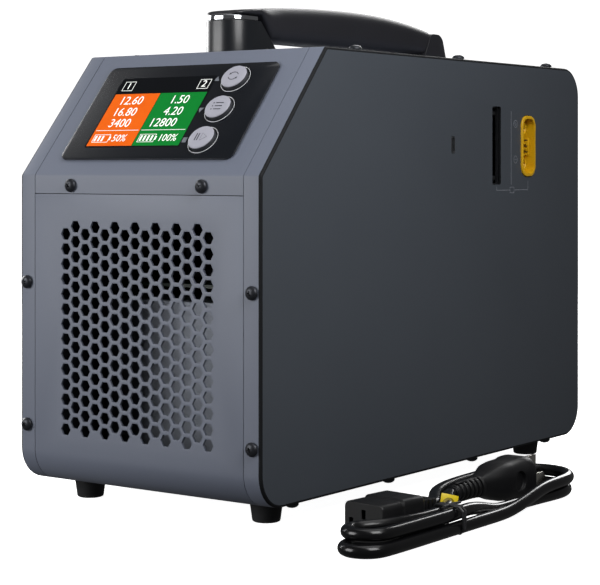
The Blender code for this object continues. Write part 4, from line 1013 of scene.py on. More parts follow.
@dataclass
class CaseShells:
    """The bent lower and upper shells, the rear panel and the two side covers."""

    case: Case
    grille: Grille = field(default_factory=Grille)
    fans: Fans = field(default_factory=Fans)
    fold: float = 1.3 * MM
    slope_bend: float = 2 * MM
    lap: float = 1.8 * MM
    rear_margin: float = 20 * MM
    bend_steps: int = 14
    tight_steps: int = 4

    def bent_sheet(self, corners: Sequence[Point], bends: Sequence[float], low: float,
                   high: float) -> bmesh.types.BMesh:
        """Return a sheet pulled along X from a (y, z) line, its corners bent round.

        Args:
            corners: The line's corners.
            bends: Bend radius at each inner corner.
            low: X of one edge.
            high: X of the other.
        Returns:
            The open mesh.
        """
        bm = bmesh.new()
        verts = [bm.verts.new((low, y, z)) for y, z in corners]
        pull_edges(bm, [bm.edges.new(pair) for pair in zip(verts, verts[1:])], (high - low, 0, 0))
        for i, radius in enumerate(bends, 1):
            before, here, after = (Vector(corners[i + k]) for k in (-1, 0, 1))
            reach = radius * math.tan((here - before).angle(after - here) / 2)
            crease = [e for e in bm.edges if all((v.co.yz - here).length < NEAR for v in e.verts)]
            soften(bm, reach, self.steps_of(radius), crease)
        return bm

    def steps_of(self, radius: float) -> int:
        """Return how many steps a bend takes: few when it is tight."""
        return self.bend_steps if radius > 4 * MM else self.tight_steps

    def lips(self, corners: Sequence[Point], bends: Sequence[float], inwards: float) -> bmesh.types.BMesh:
        """Return the two joggled edges of a shell, which pass under the covers' flanges."""
        inner = self.case.side - self.case.flange - self.case.gap - self.lap
        outer = self.case.side - self.case.sheet - self.case.gap
        line = [Vector(corner) for corner in corners]
        line = [2 * line[0] - line[1], *line, 2 * line[-1] - line[-2]]
        offset = []
        for before, corner, after in zip(line, line[1:], line[2:]):
            sides = [Vector((-d.y, d.x)).normalized() for d in (corner - before, after - corner)]
            middle = (sides[0] + sides[1]).normalized()
            offset.append(tuple(corner + middle * (inwards / middle.dot(sides[0]))))
        radii = [max(radius - inwards, 0.4 * MM) for radius in bends]
        return joined([self.bent_sheet(offset, radii, sign * inner, sign * outer) for sign in (-1, 1)])

    def build(self) -> None:
        """Build the five pieces of sheet metal."""
        case = self.case
        half = case.side - case.flange - case.gap
        inwards = case.sheet + case.gap
        rear_low, rear_high = case.bottom + self.rear_margin, case.top - self.rear_margin
        break_z = case.bottom + case.corner

        low_line = [(case.front, case.seam - case.gap), (case.front, case.bottom), (case.rear, case.bottom),
                    (case.rear, rear_low)]
        low_bends = [case.corner] * 2
        strip = self.bent_sheet([(case.front, break_z + 10 * NEAR), *low_line[1:]], low_bends, -half, half)
        panel = self.grille.panel(2 * half, break_z - case.slope_z, case.seam - case.gap - case.slope_z)
        front = placed(panel, shift(0, case.front, case.slope_z) @ turn(90, "X"))
        lower = joined([strip, front, self.lips(low_line, low_bends, inwards)])
        make_piece("lower_case_shell", lower, GREY_COAT, nodes=["lower_shell"],
                   wall=case.sheet, edge=0.18 * MM, sharp=40)

        high_line = [(case.rear, rear_high), (case.rear, case.top), (case.front + case.slope_run, case.top),
                     (case.front, case.slope_z), (case.front, case.seam)]
        bends = [case.corner, self.slope_bend, self.slope_bend]
        sheet = self.bent_sheet(high_line, bends, -half, half)
        holes = placed(Console.openings(self.case), case.console)
        upper = joined([carve(sheet, holes, case.sheet),
                        walled(self.lips(high_line, bends, inwards), case.sheet)])
        make_piece("upper_case_shell", upper, GREY_COAT, nodes=["upper_shell"], sharp=40)
        self.build_rear(half, rear_low + case.gap, rear_high - case.gap)
        for side, sign in (("left", -1), ("right", 1)):
            self.build_cover(side, sign)

    def build_rear(self, half: float, low: float, high: float) -> None:
        """Build the rear panel with its two fan grilles and the hole for the inlet."""
        case = self.case
        panel = placed(plate(2 * half, high - low, 0.3 * MM, -case.sheet, 0, 2), shift(y=(high - low) / 2))
        deep = 3 * MM
        tools = []
        for side in ("left", "right"):
            centre = centre_of(f"fan_frame_{side}")
            for x, z in self.fans.grille_centres():
                hole = bmesh.new()
                at = shift(centre.x + x, centre.z + z - low, -deep)
                bmesh.ops.create_circle(hole, cap_ends=True, segments=6,
                                        radius=self.fans.across / math.sqrt(3), matrix=at @ turn(30, "Z"))
                pull_faces(hole, (0, 0, 2 * deep))
                tools.append(hole)
        wide, tall = MainsInlet(case).body
        opening = plate(wide + 2 * case.gap, tall + 2 * case.gap, 2 * MM, -deep, deep)
        tools.append(placed(opening, shift(0, centre_of("mains_inlet").z - low)))
        panel = carve(panel, joined(tools))
        place = shift(0, case.rear, low) @ Matrix(((1, 0, 0), (0, 0, 1), (0, 1, 0))).to_4x4()
        make_piece("rear_case_panel", placed(panel, place), GREY_COAT, nodes=["rear_panel"])

    def build_cover(self, side: str, sign: int) -> None:
        """Build a side cover: plate, tight fold and the flange that laps the shells."""
        case = self.case
        bm = bmesh.new()
        corners = [(case.front, case.bottom), (case.rear, case.bottom), (case.rear, case.top),
                   (case.front + case.slope_run, case.top), (case.front, case.slope_z)]
        verts = [bm.verts.new((sign * case.side, y, z)) for y, z in corners]
        bm.faces.new(verts)
        radii = [case.corner] * 3 + [self.slope_bend] * 2
        for i, (vert, radius) in enumerate(zip(verts, radii)):
            before, here, after = (Vector(corners[(i + k) % 5]) for k in (-1, 0, 1))
            reach = radius * math.tan((here - before).angle(after - here) / 2)
            round_corners(bm, [vert], reach, self.steps_of(radius))
        pull_faces(bm, (-sign * case.flange, 0, 0))
        inside = sign * (case.side - case.flange)
        inner = [f for f in bm.faces if all(abs(v.co.x - inside) < NEAR for v in f.verts)]
        bmesh.ops.delete(bm, geom=inner, context="FACES_ONLY")
        soften(bm, self.fold, 4, edges_in_plane(bm, 0, sign * case.side))
        ports = SidePorts(case).cutters(sign)
        bm = carve(bm, ports, case.sheet)
        bm.normal_update()
        # The side plate's flat faces take a darker copy of the grey coat, which is painted shade for the
        # shade that falls on them.
        for face in bm.faces:
            depth = case.side - abs(face.calc_center_median().x)
            flat = abs(face.normal.x) > 0.999
            # Faces within the fold take a near-black copy of the coat: painted shade for the dark band along
            # the bend.
            face.material_index = 1 if flat else (2 if 10 * NEAR < depth < self.fold else 0)
        make_piece(f"side_case_cover_{side}", bm, GREY_COAT, nodes=[f"side_cover_{side}"],
                   sharp=40, also=[SIDE_SHADE_COAT, FOLD_SHADE_COAT])


@dataclass
class Fasteners:
    """The case's cross-recessed dome screws and the rubber feet."""

    case: Case
    head: float = 3.2 * MM
    height: float = 2.2 * MM
    shank: float = 1.4 * MM
    shank_length: float = 6 * MM
    recess: float = 3.3 * MM

    def screw(self) -> bpy.types.Mesh:
        """Return the mesh of one screw, its seat at the origin and its head along Z."""
        gap, rim, end = self.case.gap, 0.35 * MM, -self.shank_length
        dome = [(self.head * math.cos(a), gap + rim + (self.height - rim) * math.sin(a))
                for a in (math.radians(15 * k) for k in range(7))]
        body = spun([(0, end), (self.shank, end), (self.shank, gap), (self.head - 0.15 * MM, gap),
                     (self.head, gap + 0.15 * MM), *dome[:-1], (0, dome[-1][1])], 28)
        slots = []
        for k in range(2):
            slot = block((self.recess, 0.85 * MM, 1.7 * MM), (0, 0, gap + self.height))
            low = [v for v in slot.verts if v.co.z < gap + self.height]
            bmesh.ops.scale(slot, vec=(0.5, 0.7, 1), verts=low)
            slots.append(placed(slot, turn(90 * k + 20, "Z")))
        body = carve(carve(body, slots[0]), slots[1])
        mesh = bpy.data.meshes.new("screw")
        body.to_mesh(mesh)
        body.free()
        return mesh

    def build(self) -> None:
        """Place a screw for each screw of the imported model, and the four feet."""
        master = self.screw()
        rng = random.Random(7)
        for name in sorted(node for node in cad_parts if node.startswith("screw_")):
            low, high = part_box(name)
            middle = (low + high) / 2
            if "front" in name or "console" in name:
                place = shift(middle.x, self.case.front, middle.z) @ turn(90, "X")
            elif "top" in name:
                place = shift(middle.x, middle.y, self.case.top)
            else:
                place = shift(middle.x, middle.y, self.case.bottom) @ turn(180, "X")
            bm = bmesh.new()
            bm.from_mesh(master)
            place = place @ turn(rng.uniform(0, 90), "Z")
            make_piece(f"fitted_{name}", placed(bm, place), BLACK_OXIDE, nodes=[name])
        bpy.data.meshes.remove(master)
        for name in sorted(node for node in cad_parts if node.startswith("foot_")):
            low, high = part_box(name)
            top = self.case.bottom - self.case.gap
            profile = [(0, 0), (5.6 * MM, 0), (6.3 * MM, 0.35 * MM), (6.5 * MM, 0.9 * MM),
                       (7.3 * MM, top - 3 * MM), (7.8 * MM, top - 0.8 * MM), (7.6 * MM, top - 0.2 * MM),
                       (7.2 * MM, top), (2.5 * MM, top), (2.5 * MM, high.z), (0, high.z)]
            middle = (low + high) / 2
            make_piece(f"rubber_{name}", placed(spun(profile, 40), shift(middle.x, middle.y)), FOOT_RUBBER,
                       nodes=[name])


# ---------------------------------------------------------------- console

class Icon(Enum):
    """What a button's cap shows."""

    PLAY = 0
    LIST = 1
    CYCLE = 2


@dataclass
class Console:
    """The overlay on the slope, its screen artwork and three push buttons."""

    case: Case
    width: float = 104 * MM
    length: float = 59 * MM
    start: float = 9 * MM
    thickness: float = 0.8 * MM
    corner: float = 4 * MM
    screen_left: float = -39.3 * MM
    screen_right: float = 17.4 * MM
    screen_low: float = 17 * MM
    screen_high: float = 50 * MM
    title: float = 10.4 * MM
    half_gap: float = 0.15 * MM
    digit: float = 5.2 * MM
    rows: Point3 = (0.14, 0.36, 0.575)
    button_radius: float = 6.8 * MM
    button_face: float = 3.5 * MM
    ring: Point = (7.6 * MM, 7.9 * MM)
    ink: float = 0.05 * MM
    icon_ink: float = 0.09 * MM

    BUTTON_X = 30.3 * MM
    BUTTON_START = 20.1 * MM
    BUTTON_PITCH = 18.75 * MM
    HOLE = 7.4 * MM
    WINDOW = (60.6 * MM, 46.6 * MM)
    WINDOW_AT = (-11 * MM, 38.5 * MM)

    @classmethod
    def button_places(cls) -> list[Point]:
        """Return the buttons' axes, the lowest first."""
        return [(cls.BUTTON_X, cls.BUTTON_START + i * cls.BUTTON_PITCH) for i in range(3)]

    @classmethod
    def button_cutters(cls) -> list[bmesh.types.BMesh]:
        """Return a cylinder for each button's hole."""
        profile = [(0, -4 * MM), (cls.HOLE, -4 * MM), (cls.HOLE, 4 * MM), (0, 4 * MM)]
        return [placed(spun(profile, 48), shift(x, y)) for x, y in cls.button_places()]

    @classmethod
    def openings(cls, case: Case) -> bmesh.types.BMesh:
        """Return what is cut out of the slope under the overlay."""
        window = plate(*cls.WINDOW, 1 * MM, -4 * case.sheet, 4 * case.sheet)
        return joined([placed(window, shift(*cls.WINDOW_AT)), *cls.button_cutters()])

    @property
    def top(self) -> float:
        """Height of the overlay's face above the slope."""
        return self.case.gap + self.thickness

    def inked(self, name: str, meshes: Sequence[bmesh.types.BMesh], finish: Finish,
              slot: str = "overlay_film") -> None:
        """Place artwork on the overlay as one piece."""
        make_piece(name, placed(joined(meshes), self.case.console), finish)

    def slab(self, left: float, right: float, low: float, high: float, lift: float = 0.0,
             radius: float = 0.0) -> bmesh.types.BMesh:
        """Return a thin rectangle of ink or screen on the overlay."""
        base = self.top + lift
        bm = plate(right - left, high - low, radius, base, base + self.ink, 3)
        return placed(bm, shift((left + right) / 2, (low + high) / 2))

    def outline(self, left: float, right: float, low: float, high: float,
                lift: float) -> list[bmesh.types.BMesh]:
        """Return the four bars of a rectangular outline."""
        line = 0.25 * MM
        return [self.slab(left, right, low, low + line, lift),
                self.slab(left, right, high - line, high, lift),
                self.slab(left, left + line, low + line, high - line, lift),
                self.slab(right - line, right, low + line, high - line, lift)]

    def build(self) -> None:
        """Build the overlay, the artwork and the buttons, and dress the parts behind them."""
        film = plate(self.width, self.length, self.corner, self.case.gap, self.top, 10, 0.18 * MM)
        film = placed(film, shift(0, self.start + self.length / 2))
        film = carve(film, joined(self.button_cutters()))
        make_piece("overlay_panel", placed(film, self.case.console), OVERLAY_FILM, nodes=["console_overlay"])
        self.build_screen()
        self.build_marks()
        for i, (x, y) in enumerate(self.button_places()):
            self.build_button(i, x, y, Icon(i))
        dress("display_module", LCD_BLACK)
        dress("control_board", CIRCUIT)

    def build_screen(self) -> None:
        """Build the two-channel screen: coloured halves, figures, rules and charge bars."""
        left, right, low, high = self.screen_left, self.screen_right, self.screen_low, self.screen_high
        middle = (left + right) / 2
        half, tall = middle - left, high - low
        margin = 0.8 * MM
        glass = self.slab(left - margin, right + margin, low - margin, high + self.title, 0, 0.5 * MM)
        self.inked("screen_glass", [glass], LCD_BLACK, "display_glass")
        lift = self.ink
        self.inked("screen_channel_1", [self.slab(left, middle - self.half_gap, low, high, lift)], LCD_ORANGE,
                   "display_glass")
        self.inked("screen_channel_2", [self.slab(middle + self.half_gap, right, low, high, lift)], LCD_GREEN,
                   "display_glass")
        lift = 2 * self.ink
        base = self.top + lift
        shapes = []
        for column, texts in ((left, ("12.60", "16.80", "3400")), (middle, ("1.50", "4.20", "12800"))):
            for share, text in zip(self.rows, texts):
                at = (column + 0.70 * half, high - share * tall)
                shapes.append(figures(text, self.digit, at, Align.RIGHT, base, self.ink, 0.9))
            shapes.append(self.slab(column + 0.03 * half, column + 0.97 * half, high - 0.712 * tall,
                                    high - 0.704 * tall, lift))
        for column, bars, text in ((left, 3, "50%"), (middle, 4, "100%")):
            low_bar, high_bar = high - 0.935 * tall, high - 0.785 * tall
            shapes += self.outline(column + 0.07 * half, column + 0.42 * half, low_bar, high_bar, lift)
            shapes.append(self.slab(column + 0.425 * half, column + 0.45 * half, low_bar + 1.4 * MM,
                                    high_bar - 1.4 * MM, lift))
            for k in range(bars):
                x = column + (0.10 + 0.077 * k) * half
                shapes.append(self.slab(x, x + 0.038 * half, low_bar + 0.8 * MM, high_bar - 0.8 * MM, lift))
            at = (column + 0.49 * half, high - 0.862 * tall)
            shapes.append(figures(text, 4.3 * MM, at, Align.LEFT, base, self.ink, 0.85))
        boxed = high + 5.1 * MM
        for centre, text in ((left + 5.6 * MM, "1"), (right - 4.4 * MM, "2")):
            shapes += self.outline(centre - 3.3 * MM, centre + 3.3 * MM, boxed - 3 * MM, boxed + 3 * MM, lift)
            shapes.append(figures(text, 4.1 * MM, (centre, boxed), Align.CENTRE, base, self.ink))
        self.inked("screen_figures", shapes, LCD_WHITE, "display_glass")

    def build_marks(self) -> None:
        """Print the rings round the buttons and the small marks beside them."""
        inner, outer = self.ring
        low, high = self.top, self.top + self.ink
        rings, marks = [], []
        for i, (x, y) in enumerate(self.button_places()):
            ring = spun([(inner, low), (outer, low), (outer, high), (inner, high), (inner, low)], 64)
            rings.append(placed(ring, shift(x, y)))
            at = shift(x - 11.2 * MM, y + 0.2 * MM, self.top)
            if i == 0:
                marks.append(placed(plate(3 * MM, 3 * MM, 0, 0, self.ink), at))
            else:
                mark = bmesh.new()
                bmesh.ops.create_circle(mark, cap_ends=True, segments=3, radius=1.95 * MM)
                pull_faces(mark, (0, 0, self.ink))
                marks.append(placed(mark, at @ turn(180 if i == 1 else 0, "Z")))
        self.inked("button_rings", rings, WHITE_INK)
        self.inked("button_marks", marks, GREY_INK)

    def build_button(self, index: int, x: float, y: float, icon: Icon) -> None:
        """Build one cap with its hidden collar and stem, and the icon printed on it."""
        name = f"button_{index + 1}"
        place = self.case.console @ shift(x, y)
        face, radius = self.button_face, self.button_radius
        stem, stem_end, collar = 2.2 * MM, -7.5 * MM, 8 * MM
        profile = [(0, stem_end), (stem, stem_end), (stem, -2.7 * MM), (collar, -2.7 * MM),
                   (collar, -1.5 * MM), (radius, -1.5 * MM), (radius, face - 1.0 * MM),
                   (radius - 0.08 * MM, face - 0.6 * MM),
                   (radius - 0.3 * MM, face - 0.28 * MM), (radius - 0.8 * MM, face - 0.1 * MM),
                   (radius - 1.6 * MM, face - 0.03 * MM), (0, face)]
        cap = spun(profile, 56)
        # Faces below the cap's top take a darker copy of the silicone: painted shade on the cap's sides.
        for part in cap.faces:
            part.material_index = 0 if part.calc_center_median().z > face - 0.75 * MM else 1
        make_piece(f"{name}_cap", placed(cap, place), CAP_SILICONE, name, nodes=[name],
                   also=[CAP_SIDE_SHADE])
        shapes = {Icon.PLAY: self.play_icon, Icon.LIST: self.list_icon, Icon.CYCLE: self.cycle_icon}[icon]()
        mesh = placed(joined(shapes), place @ shift(z=face - 0.06 * MM))
        make_piece(f"{name}_icon", mesh, DARK_INK, name)

    def play_icon(self) -> list[bmesh.types.BMesh]:
        """Return two bars and an open triangle."""
        bars = [placed(plate(0.55 * MM, 4.2 * MM, 0, 0, self.icon_ink), shift(x))
                for x in (-2.6 * MM, -1.3 * MM)]
        corners = [Vector((0.4, 2.2, 0)) * MM, Vector((3.6, 0, 0)) * MM, Vector((0.4, -2.2, 0)) * MM]
        path = [(*corner.xy, 0.03 * MM) for corner in corners]
        return bars + [bar(path, 0.1 * MM, 6, cyclic=True)]

    def list_icon(self) -> list[bmesh.types.BMesh]:
        """Return three lines, each with a dot before it."""
        shapes = []
        for y in (-1.9 * MM, 0.0, 1.9 * MM):
            shapes.append(placed(plate(4.2 * MM, 0.5 * MM, 0, 0, self.icon_ink), shift(0.8 * MM, y)))
            shapes.append(placed(plate(0.6 * MM, 0.6 * MM, 0, 0, self.icon_ink), shift(-2.6 * MM, y)))
        return shapes

    def cycle_icon(self) -> list[bmesh.types.BMesh]:
        """Return two curved arrows chasing each other."""
        shapes = []
        for start in (20, 200):
            path = []
            for k in range(10):
                angle = math.radians(start + 14 * k)
                path.append((2.7 * MM * math.cos(angle), 2.3 * MM * math.sin(angle), 0.04 * MM))
            shapes.append(bar(path, 0.18 * MM, 6))
            head = bmesh.new()
            bmesh.ops.create_circle(head, cap_ends=True, segments=3, radius=0.8 * MM)
            pull_faces(head, (0, 0, self.icon_ink))
            shapes.append(placed(head, shift(path[-1][0], path[-1][1]) @ turn(start + 126, "Z")))
        return shapes


# ---------------------------------------------------------------- handle

@dataclass
class Handle:
    """The fixed carrying handle: polished front foot, chromed trim, grip and rear foot."""

    case: Case
    width: float = 24 * MM
    foot_length: float = 36.3 * MM
    foot_height: float = 16.3 * MM
    taper: float = 15 * MM
    trim: float = 2.1 * MM
    trim_inset: float = 1 * MM
    rear_length: float = 28 * MM
    rear_top: float = 19.4 * MM
    rear_lean: float = 10 * MM
    rear_tail: float = 6.5 * MM
    peak: float = 27.1 * MM
    peak_from_front: float = 110 * MM
    clearance: float = 7 * MM
    front_drop: float = 0.97 * MM
    front_reach: float = 42 * MM
    rear_drop: float = 38 * MM
    rear_reach: float = 150 * MM
    ring_sides: int = 44
    ring_count: int = 14

    def build(self) -> None:
        """Build the four pieces."""
        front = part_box("handle_foot_front")[0].y
        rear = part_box("handle_foot_rear")[1].y
        self.build_front(front)
        self.build_rear(rear)
        self.build_grip(front, rear - self.rear_length)

    def plan(self, front: float, length: float, low: float, high: float, edge: float, lean: float = 0.0,
             inset: float = 0.0) -> bmesh.types.BMesh:
        """Return a block with a round nose in plan.

        Args:
            front: Y of the nose.
            length: Length along Y at the bottom.
            low: Height of the underside.
            high: Height of the top.
            edge: Radius of the top edge.
            lean: How far the rear face leans forward at the top.
            inset: How far the sides stand in from the handle's width.
        Returns:
            The mesh.
        """
        bm = bmesh.new()
        bmesh.ops.create_grid(bm, x_segments=1, y_segments=1, size=0.5)
        half = self.width / 2 - inset
        bmesh.ops.scale(bm, vec=(2 * half, length, 1), verts=bm.verts)
        bmesh.ops.translate(bm, vec=(0, front + length / 2, low), verts=bm.verts)
        for nose, radius, steps in ((True, half - 1 * MM, 14), (False, 1.5 * MM, 4)):
            end = front if nose else front + length
            ends = [v for v in bm.verts if abs(v.co.y - end) < NEAR and abs(abs(v.co.x) - half) < NEAR]
            round_corners(bm, ends, radius, steps)
        pull_faces(bm, (0, 0, high - low))
        for vert in bm.verts:
            if vert.co.z > high - NEAR and vert.co.y > front + length - 2 * MM:
                vert.co.y -= lean
        return soften(bm, edge, 3, edges_in_plane(bm, 2, high))

    def build_front(self, front: float) -> None:
        """Build the polished front foot and the chromed trim on it."""
        base = self.case.top + self.case.gap
        high = self.case.top + self.foot_height
        foot = self.plan(front, self.foot_length, base, high, 0.5 * MM, self.taper)
        make_piece("handle_front_mount", foot, GLOSS_ABS, nodes=["handle_foot_front"],
                   sharp=30)
        low = high + self.case.gap
        inset = self.trim_inset
        length = self.foot_length - self.taper - 2 * inset
        trim = self.plan(front + inset, length, low, low + self.trim, 0.45 * MM, inset=inset)
        make_piece("handle_chrome_trim", trim, CHROME, nodes=["handle_trim"], sharp=30)

    def build_rear(self, rear: float) -> None:
        """Build the rear foot from its side outline, pulled across the handle."""
        front = rear - self.rear_length
        base = self.case.top + self.case.gap
        high = self.case.top + self.rear_top
        corners = [(front, base), (rear, base), (rear - self.rear_tail, high), (front + self.rear_lean, high)]
        bm = bmesh.new()
        verts = [bm.verts.new((-self.width / 2, y, z)) for y, z in corners]
        bm.faces.new(verts)
        for vert, radius in zip(verts, (0.6 * MM, 0.6 * MM, 4.5 * MM, 2.5 * MM)):
            round_corners(bm, [vert], radius, 7)
        pull_faces(bm, (self.width, 0, 0))
        rims = edges_in_plane(bm, 0, -self.width / 2) + edges_in_plane(bm, 0, self.width / 2)
        soften(bm, 0.5 * MM, 3, rims)
        make_piece("handle_rear_mount", bm, MATT_ABS, nodes=["handle_foot_rear"],
                   sharp=30)

    def top_line(self, y: float, peak_y: float) -> float:
        """Return the grip's top above the case at a distance along it."""
        away = y - peak_y
        if away < 0:
            return self.peak - self.front_drop * (away / self.front_reach) ** 2
        return self.peak - self.rear_drop * (away / self.rear_reach) ** 2

    def build_grip(self, front: float, rear_foot: float) -> None:
        """Build the grip as rounded sections bridged from the trim to the rear foot."""
        case, gap = self.case, self.case.gap
        peak_y = front + self.peak_from_front
        foot_rear = front + self.foot_length
        top_rear = foot_rear - self.taper
        seat = self.foot_height + 2 * gap + self.trim
        behind = foot_rear - self.taper / self.foot_height * self.clearance + 3 * gap
        end = rear_foot - 3 * gap
        tip = front + 4 * MM
        stations = [(tip, 0.60, 1.4 * MM, seat), (tip + 0.5 * MM, 0.72, 0.7 * MM, seat),
                    (tip + 1.5 * MM, 0.83, 0.25 * MM, seat), (tip + 4 * MM, 0.94, 0.0, seat),
                    (tip + 9 * MM, 1.0, 0.0, seat), (top_rear + 2 * gap, 1.0, 0.0, seat),
                    (behind, 1.0, 0.0, self.clearance)]
        steps = self.ring_count
        stations += [(behind + (end - behind) * k / steps, 1.0, 0.0, self.clearance)
                     for k in range(1, steps + 1)]
        lean, lean_start = self.rear_lean / self.rear_top, 20 * MM
        rings = []
        for y, share, drop, bottom in stations:
            top = self.top_line(y, peak_y) - drop
            shear = lean * max(0.0, (y - lean_start) / (end - lean_start))
            ring = []
            for k in range(self.ring_sides):
                angle = math.tau * (k + 0.5) / self.ring_sides
                wide, tall = math.cos(angle), math.sin(angle)
                x = self.width / 2 * share * math.copysign(abs(wide) ** 0.5, wide)
                z = (top + bottom) / 2 + (top - bottom) / 2 * math.copysign(abs(tall) ** 0.62, tall)
                ring.append((x, y + shear * z, case.top + z))
            rings.append(ring)
        make_piece("handle_grip_shell", skinned(rings), MATT_ABS, nodes=["handle_grip"],
                   sharp=50)


# ---------------------------------------------------------------- ports

@dataclass
class SidePorts:
    """Battery sockets, balance headers, the service port and the marks printed round them."""

    case: Case
    power: Point = (15.2 * MM, 32.7 * MM)
    balance: Point = (8.4 * MM, 40.6 * MM)
    service: Point = (3.0 * MM, 8.2 * MM)
    cut: Point = (-4 * MM, 3 * MM)
    collar: Point = (-2.9 * MM, -1.55 * MM)
    contact_at: float = 9.5 * MM
    signal_pitch: float = 3.1 * MM
    header_recess: float = 8 * MM
    pin_pitch: float = 2.5 * MM
    pins: int = 14
    ink: float = 0.05 * MM
    thin_line: float = 0.35 * MM

    def place(self, node: str, sign: int) -> Matrix:
        """Return the frame of a port on its side plate."""
        centre = centre_of(node)
        return self.case.side_place(sign, centre.y, centre.z)

    def power_body(self, grow: float, low: float, high: float) -> bmesh.types.BMesh:
        """Return the battery socket's long round-cornered body between two heights."""
        wide, tall = self.power
        return plate(wide + 2 * grow, tall + 2 * grow, wide * 0.38 + grow, low, high, 8)

    def cutters(self, sign: int) -> bmesh.types.BMesh:
        """Return what the ports cut out of a side plate."""
        side = "right" if sign > 0 else "left"
        tools = [placed(self.power_body(self.case.gap, *self.cut), self.place(f"power_socket_{side}", sign)),
                 placed(self.slot(self.balance), self.place(f"balance_socket_{side}", sign))]
        if sign > 0:
            tools.append(placed(self.slot(self.service), self.place("usb_socket", sign)))
        return joined(tools)

    def slot(self, size: Point) -> bmesh.types.BMesh:
        """Return the cutter of a rectangular port, a running gap larger all round."""
        wide, tall = size
        gap = self.case.gap
        return plate(wide + 2 * gap, tall + 2 * gap, 1.1 * MM, *self.cut)

    def build(self) -> None:
        """Build the ports of both sides and their marks."""
        for side, sign in (("left", -1), ("right", 1)):
            self.build_power(side, self.place(f"power_socket_{side}", sign))
            self.build_balance(side, self.place(f"balance_socket_{side}", sign))
            self.build_marks(side, sign)
        self.build_service(self.place("usb_socket", 1))

    def build_power(self, side: str, place: Matrix) -> None:
        """Build the yellow shroud with its partitions, the two round contacts and the signal pins."""
        proud, recess, depth = 0.8 * MM, 8 * MM, 14 * MM
        floor = proud - recess
        body = self.power_body(0, -depth, proud)
        soften(body, 0.35 * MM, 3, edges_in_plane(body, 2, proud))
        mouth = plate(12.2 * MM, 29.7 * MM, 4.4 * MM, floor, proud + MM, 8)
        body = carve(body, mouth)
        collar = self.power_body(1.6 * MM, *self.collar)
        parts = [body, carve(collar, self.power_body(-1 * MM, -4 * MM, MM))]
        contacts = []
        for sign in (-1, 1):
            at = shift(0, sign * self.contact_at)
            sleeve = spun([(2.6 * MM, floor), (3.6 * MM, floor), (3.6 * MM, -3.1 * MM), (3.4 * MM, -2.8 * MM),
                           (2.8 * MM, -2.8 * MM), (2.6 * MM, -3.1 * MM), (2.6 * MM, floor)], 36)
            tube = spun([(0, floor), (2.5 * MM, floor), (2.5 * MM, -3.5 * MM), (2.3 * MM, -3.2 * MM),
                         (2.0 * MM, -3.2 * MM), (1.8 * MM, -3.5 * MM), (1.8 * MM, -6.8 * MM),
                         (0, -6.8 * MM)], 32)
            parts.append(placed(sleeve, at))
            contacts.append(placed(tube, at))
            parts.append(block((1.1 * MM, 9 * MM, 5.6 * MM), (sign * 4.2 * MM, 0, floor + 2.8 * MM),
                               0.2 * MM))
        for k in range(3):
            wall_y, pin_y = (k - 1.5) * self.signal_pitch, (k - 1) * self.signal_pitch
            parts.append(block((5.8 * MM, 0.8 * MM, 5.2 * MM), (0, wall_y, floor + 2.6 * MM), 0.15 * MM))
            contacts.append(block((3.4 * MM, 0.9 * MM, 6.2 * MM), (0, pin_y, floor + 3.1 * MM), 0.2 * MM))
        make_piece(f"power_shroud_{side}", placed(joined(parts), place), YELLOW_NYLON,
                   nodes=[f"power_socket_{side}"])
        make_piece(f"power_contacts_{side}", placed(joined(contacts), place), BRASS)

    def build_balance(self, side: str, place: Matrix) -> None:
        """Build the black header: walls with key slots, and two rows of pins."""
        wide, tall = self.balance
        depth, recess = 11 * MM, self.header_recess
        body = plate(wide, tall, 0.8 * MM, -depth, 0, 3, 0.25 * MM)
        tools = [plate(5 * MM, 36.6 * MM, 0.4 * MM, -recess, MM, 3)]
        for y in self.pin_rows(self.pins):
            tools.append(block((0.7 * MM, 1.2 * MM, 1.2 * MM), (wide / 2 - 0.85 * MM, y, 0)))
        tools.append(block((2.4 * MM, 4.4 * MM, 5 * MM), (-wide / 2 + 1.3 * MM, 0, 0)))
        body = carve(body, joined(tools))
        collar = plate(wide + 3.2 * MM, tall + 3.2 * MM, 1.5 * MM, *self.collar, 4)
        body = joined([body, carve(collar, plate(wide - MM, tall - MM, 0.5 * MM, -4 * MM, MM, 3))])
        ends = [block((4.6 * MM, 2.2 * MM, 6 * MM), (0, sign * 17 * MM, -recess + 3 * MM), 0.3 * MM)
                for sign in (-1, 1)]
        make_piece(f"balance_header_{side}", placed(joined([body, *ends]), place), BLACK_NYLON,
                   nodes=[f"balance_socket_{side}"])
        pins = [block((0.64 * MM, 0.64 * MM, 4.6 * MM), (x, y, -recess + 2.3 * MM), 0.12 * MM, 1)
                for y in self.pin_rows(self.pins - 2) for x in (-1.1 * MM, 1.1 * MM)]
        make_piece(f"balance_pins_{side}", placed(joined(pins), place), TINNED)

    def pin_rows(self, count: int) -> list[float]:
        """Return the places of a row at the header's pitch, about its middle."""
        return [(k - (count - 1) / 2) * self.pin_pitch for k in range(count)]

    def build_service(self, place: Matrix) -> None:
        """Build the service port's folded steel shell and its tongue."""
        wide, tall = self.service
        shell = plate(wide, tall, 0.8 * MM, -7 * MM, 0.1 * MM, 5, 0.08 * MM)
        mouth = plate(wide - 0.7 * MM, tall - 0.7 * MM, 0.5 * MM, -6 * MM, MM, 5)
        shell = carve(shell, mouth)
        make_piece("service_port_shell", placed(shell, place), PORT_STEEL, nodes=["usb_socket"])
        tongue = block((0.7 * MM, tall - 2.4 * MM, 5 * MM), (0.1 * MM, 0, -3.6 * MM), 0.12 * MM)
        make_piece("service_port_tongue", placed(tongue, place), BLACK_NYLON)

    def build_marks(self, side: str, sign: int) -> None:
        """Print the pole marks beside the battery socket and the line that joins the pair."""
        power = centre_of(f"power_socket_{side}")
        balance = centre_of(f"balance_socket_{side}")
        place = self.case.side_place(sign, power.y, power.z)

        def stroke(y: float, z: float, long: float, tall: float) -> bmesh.types.BMesh:
            """Return one thin bar of ink at an offset from the battery socket."""
            return placed(plate(long, tall, 0, 0, self.ink), shift(y, z))

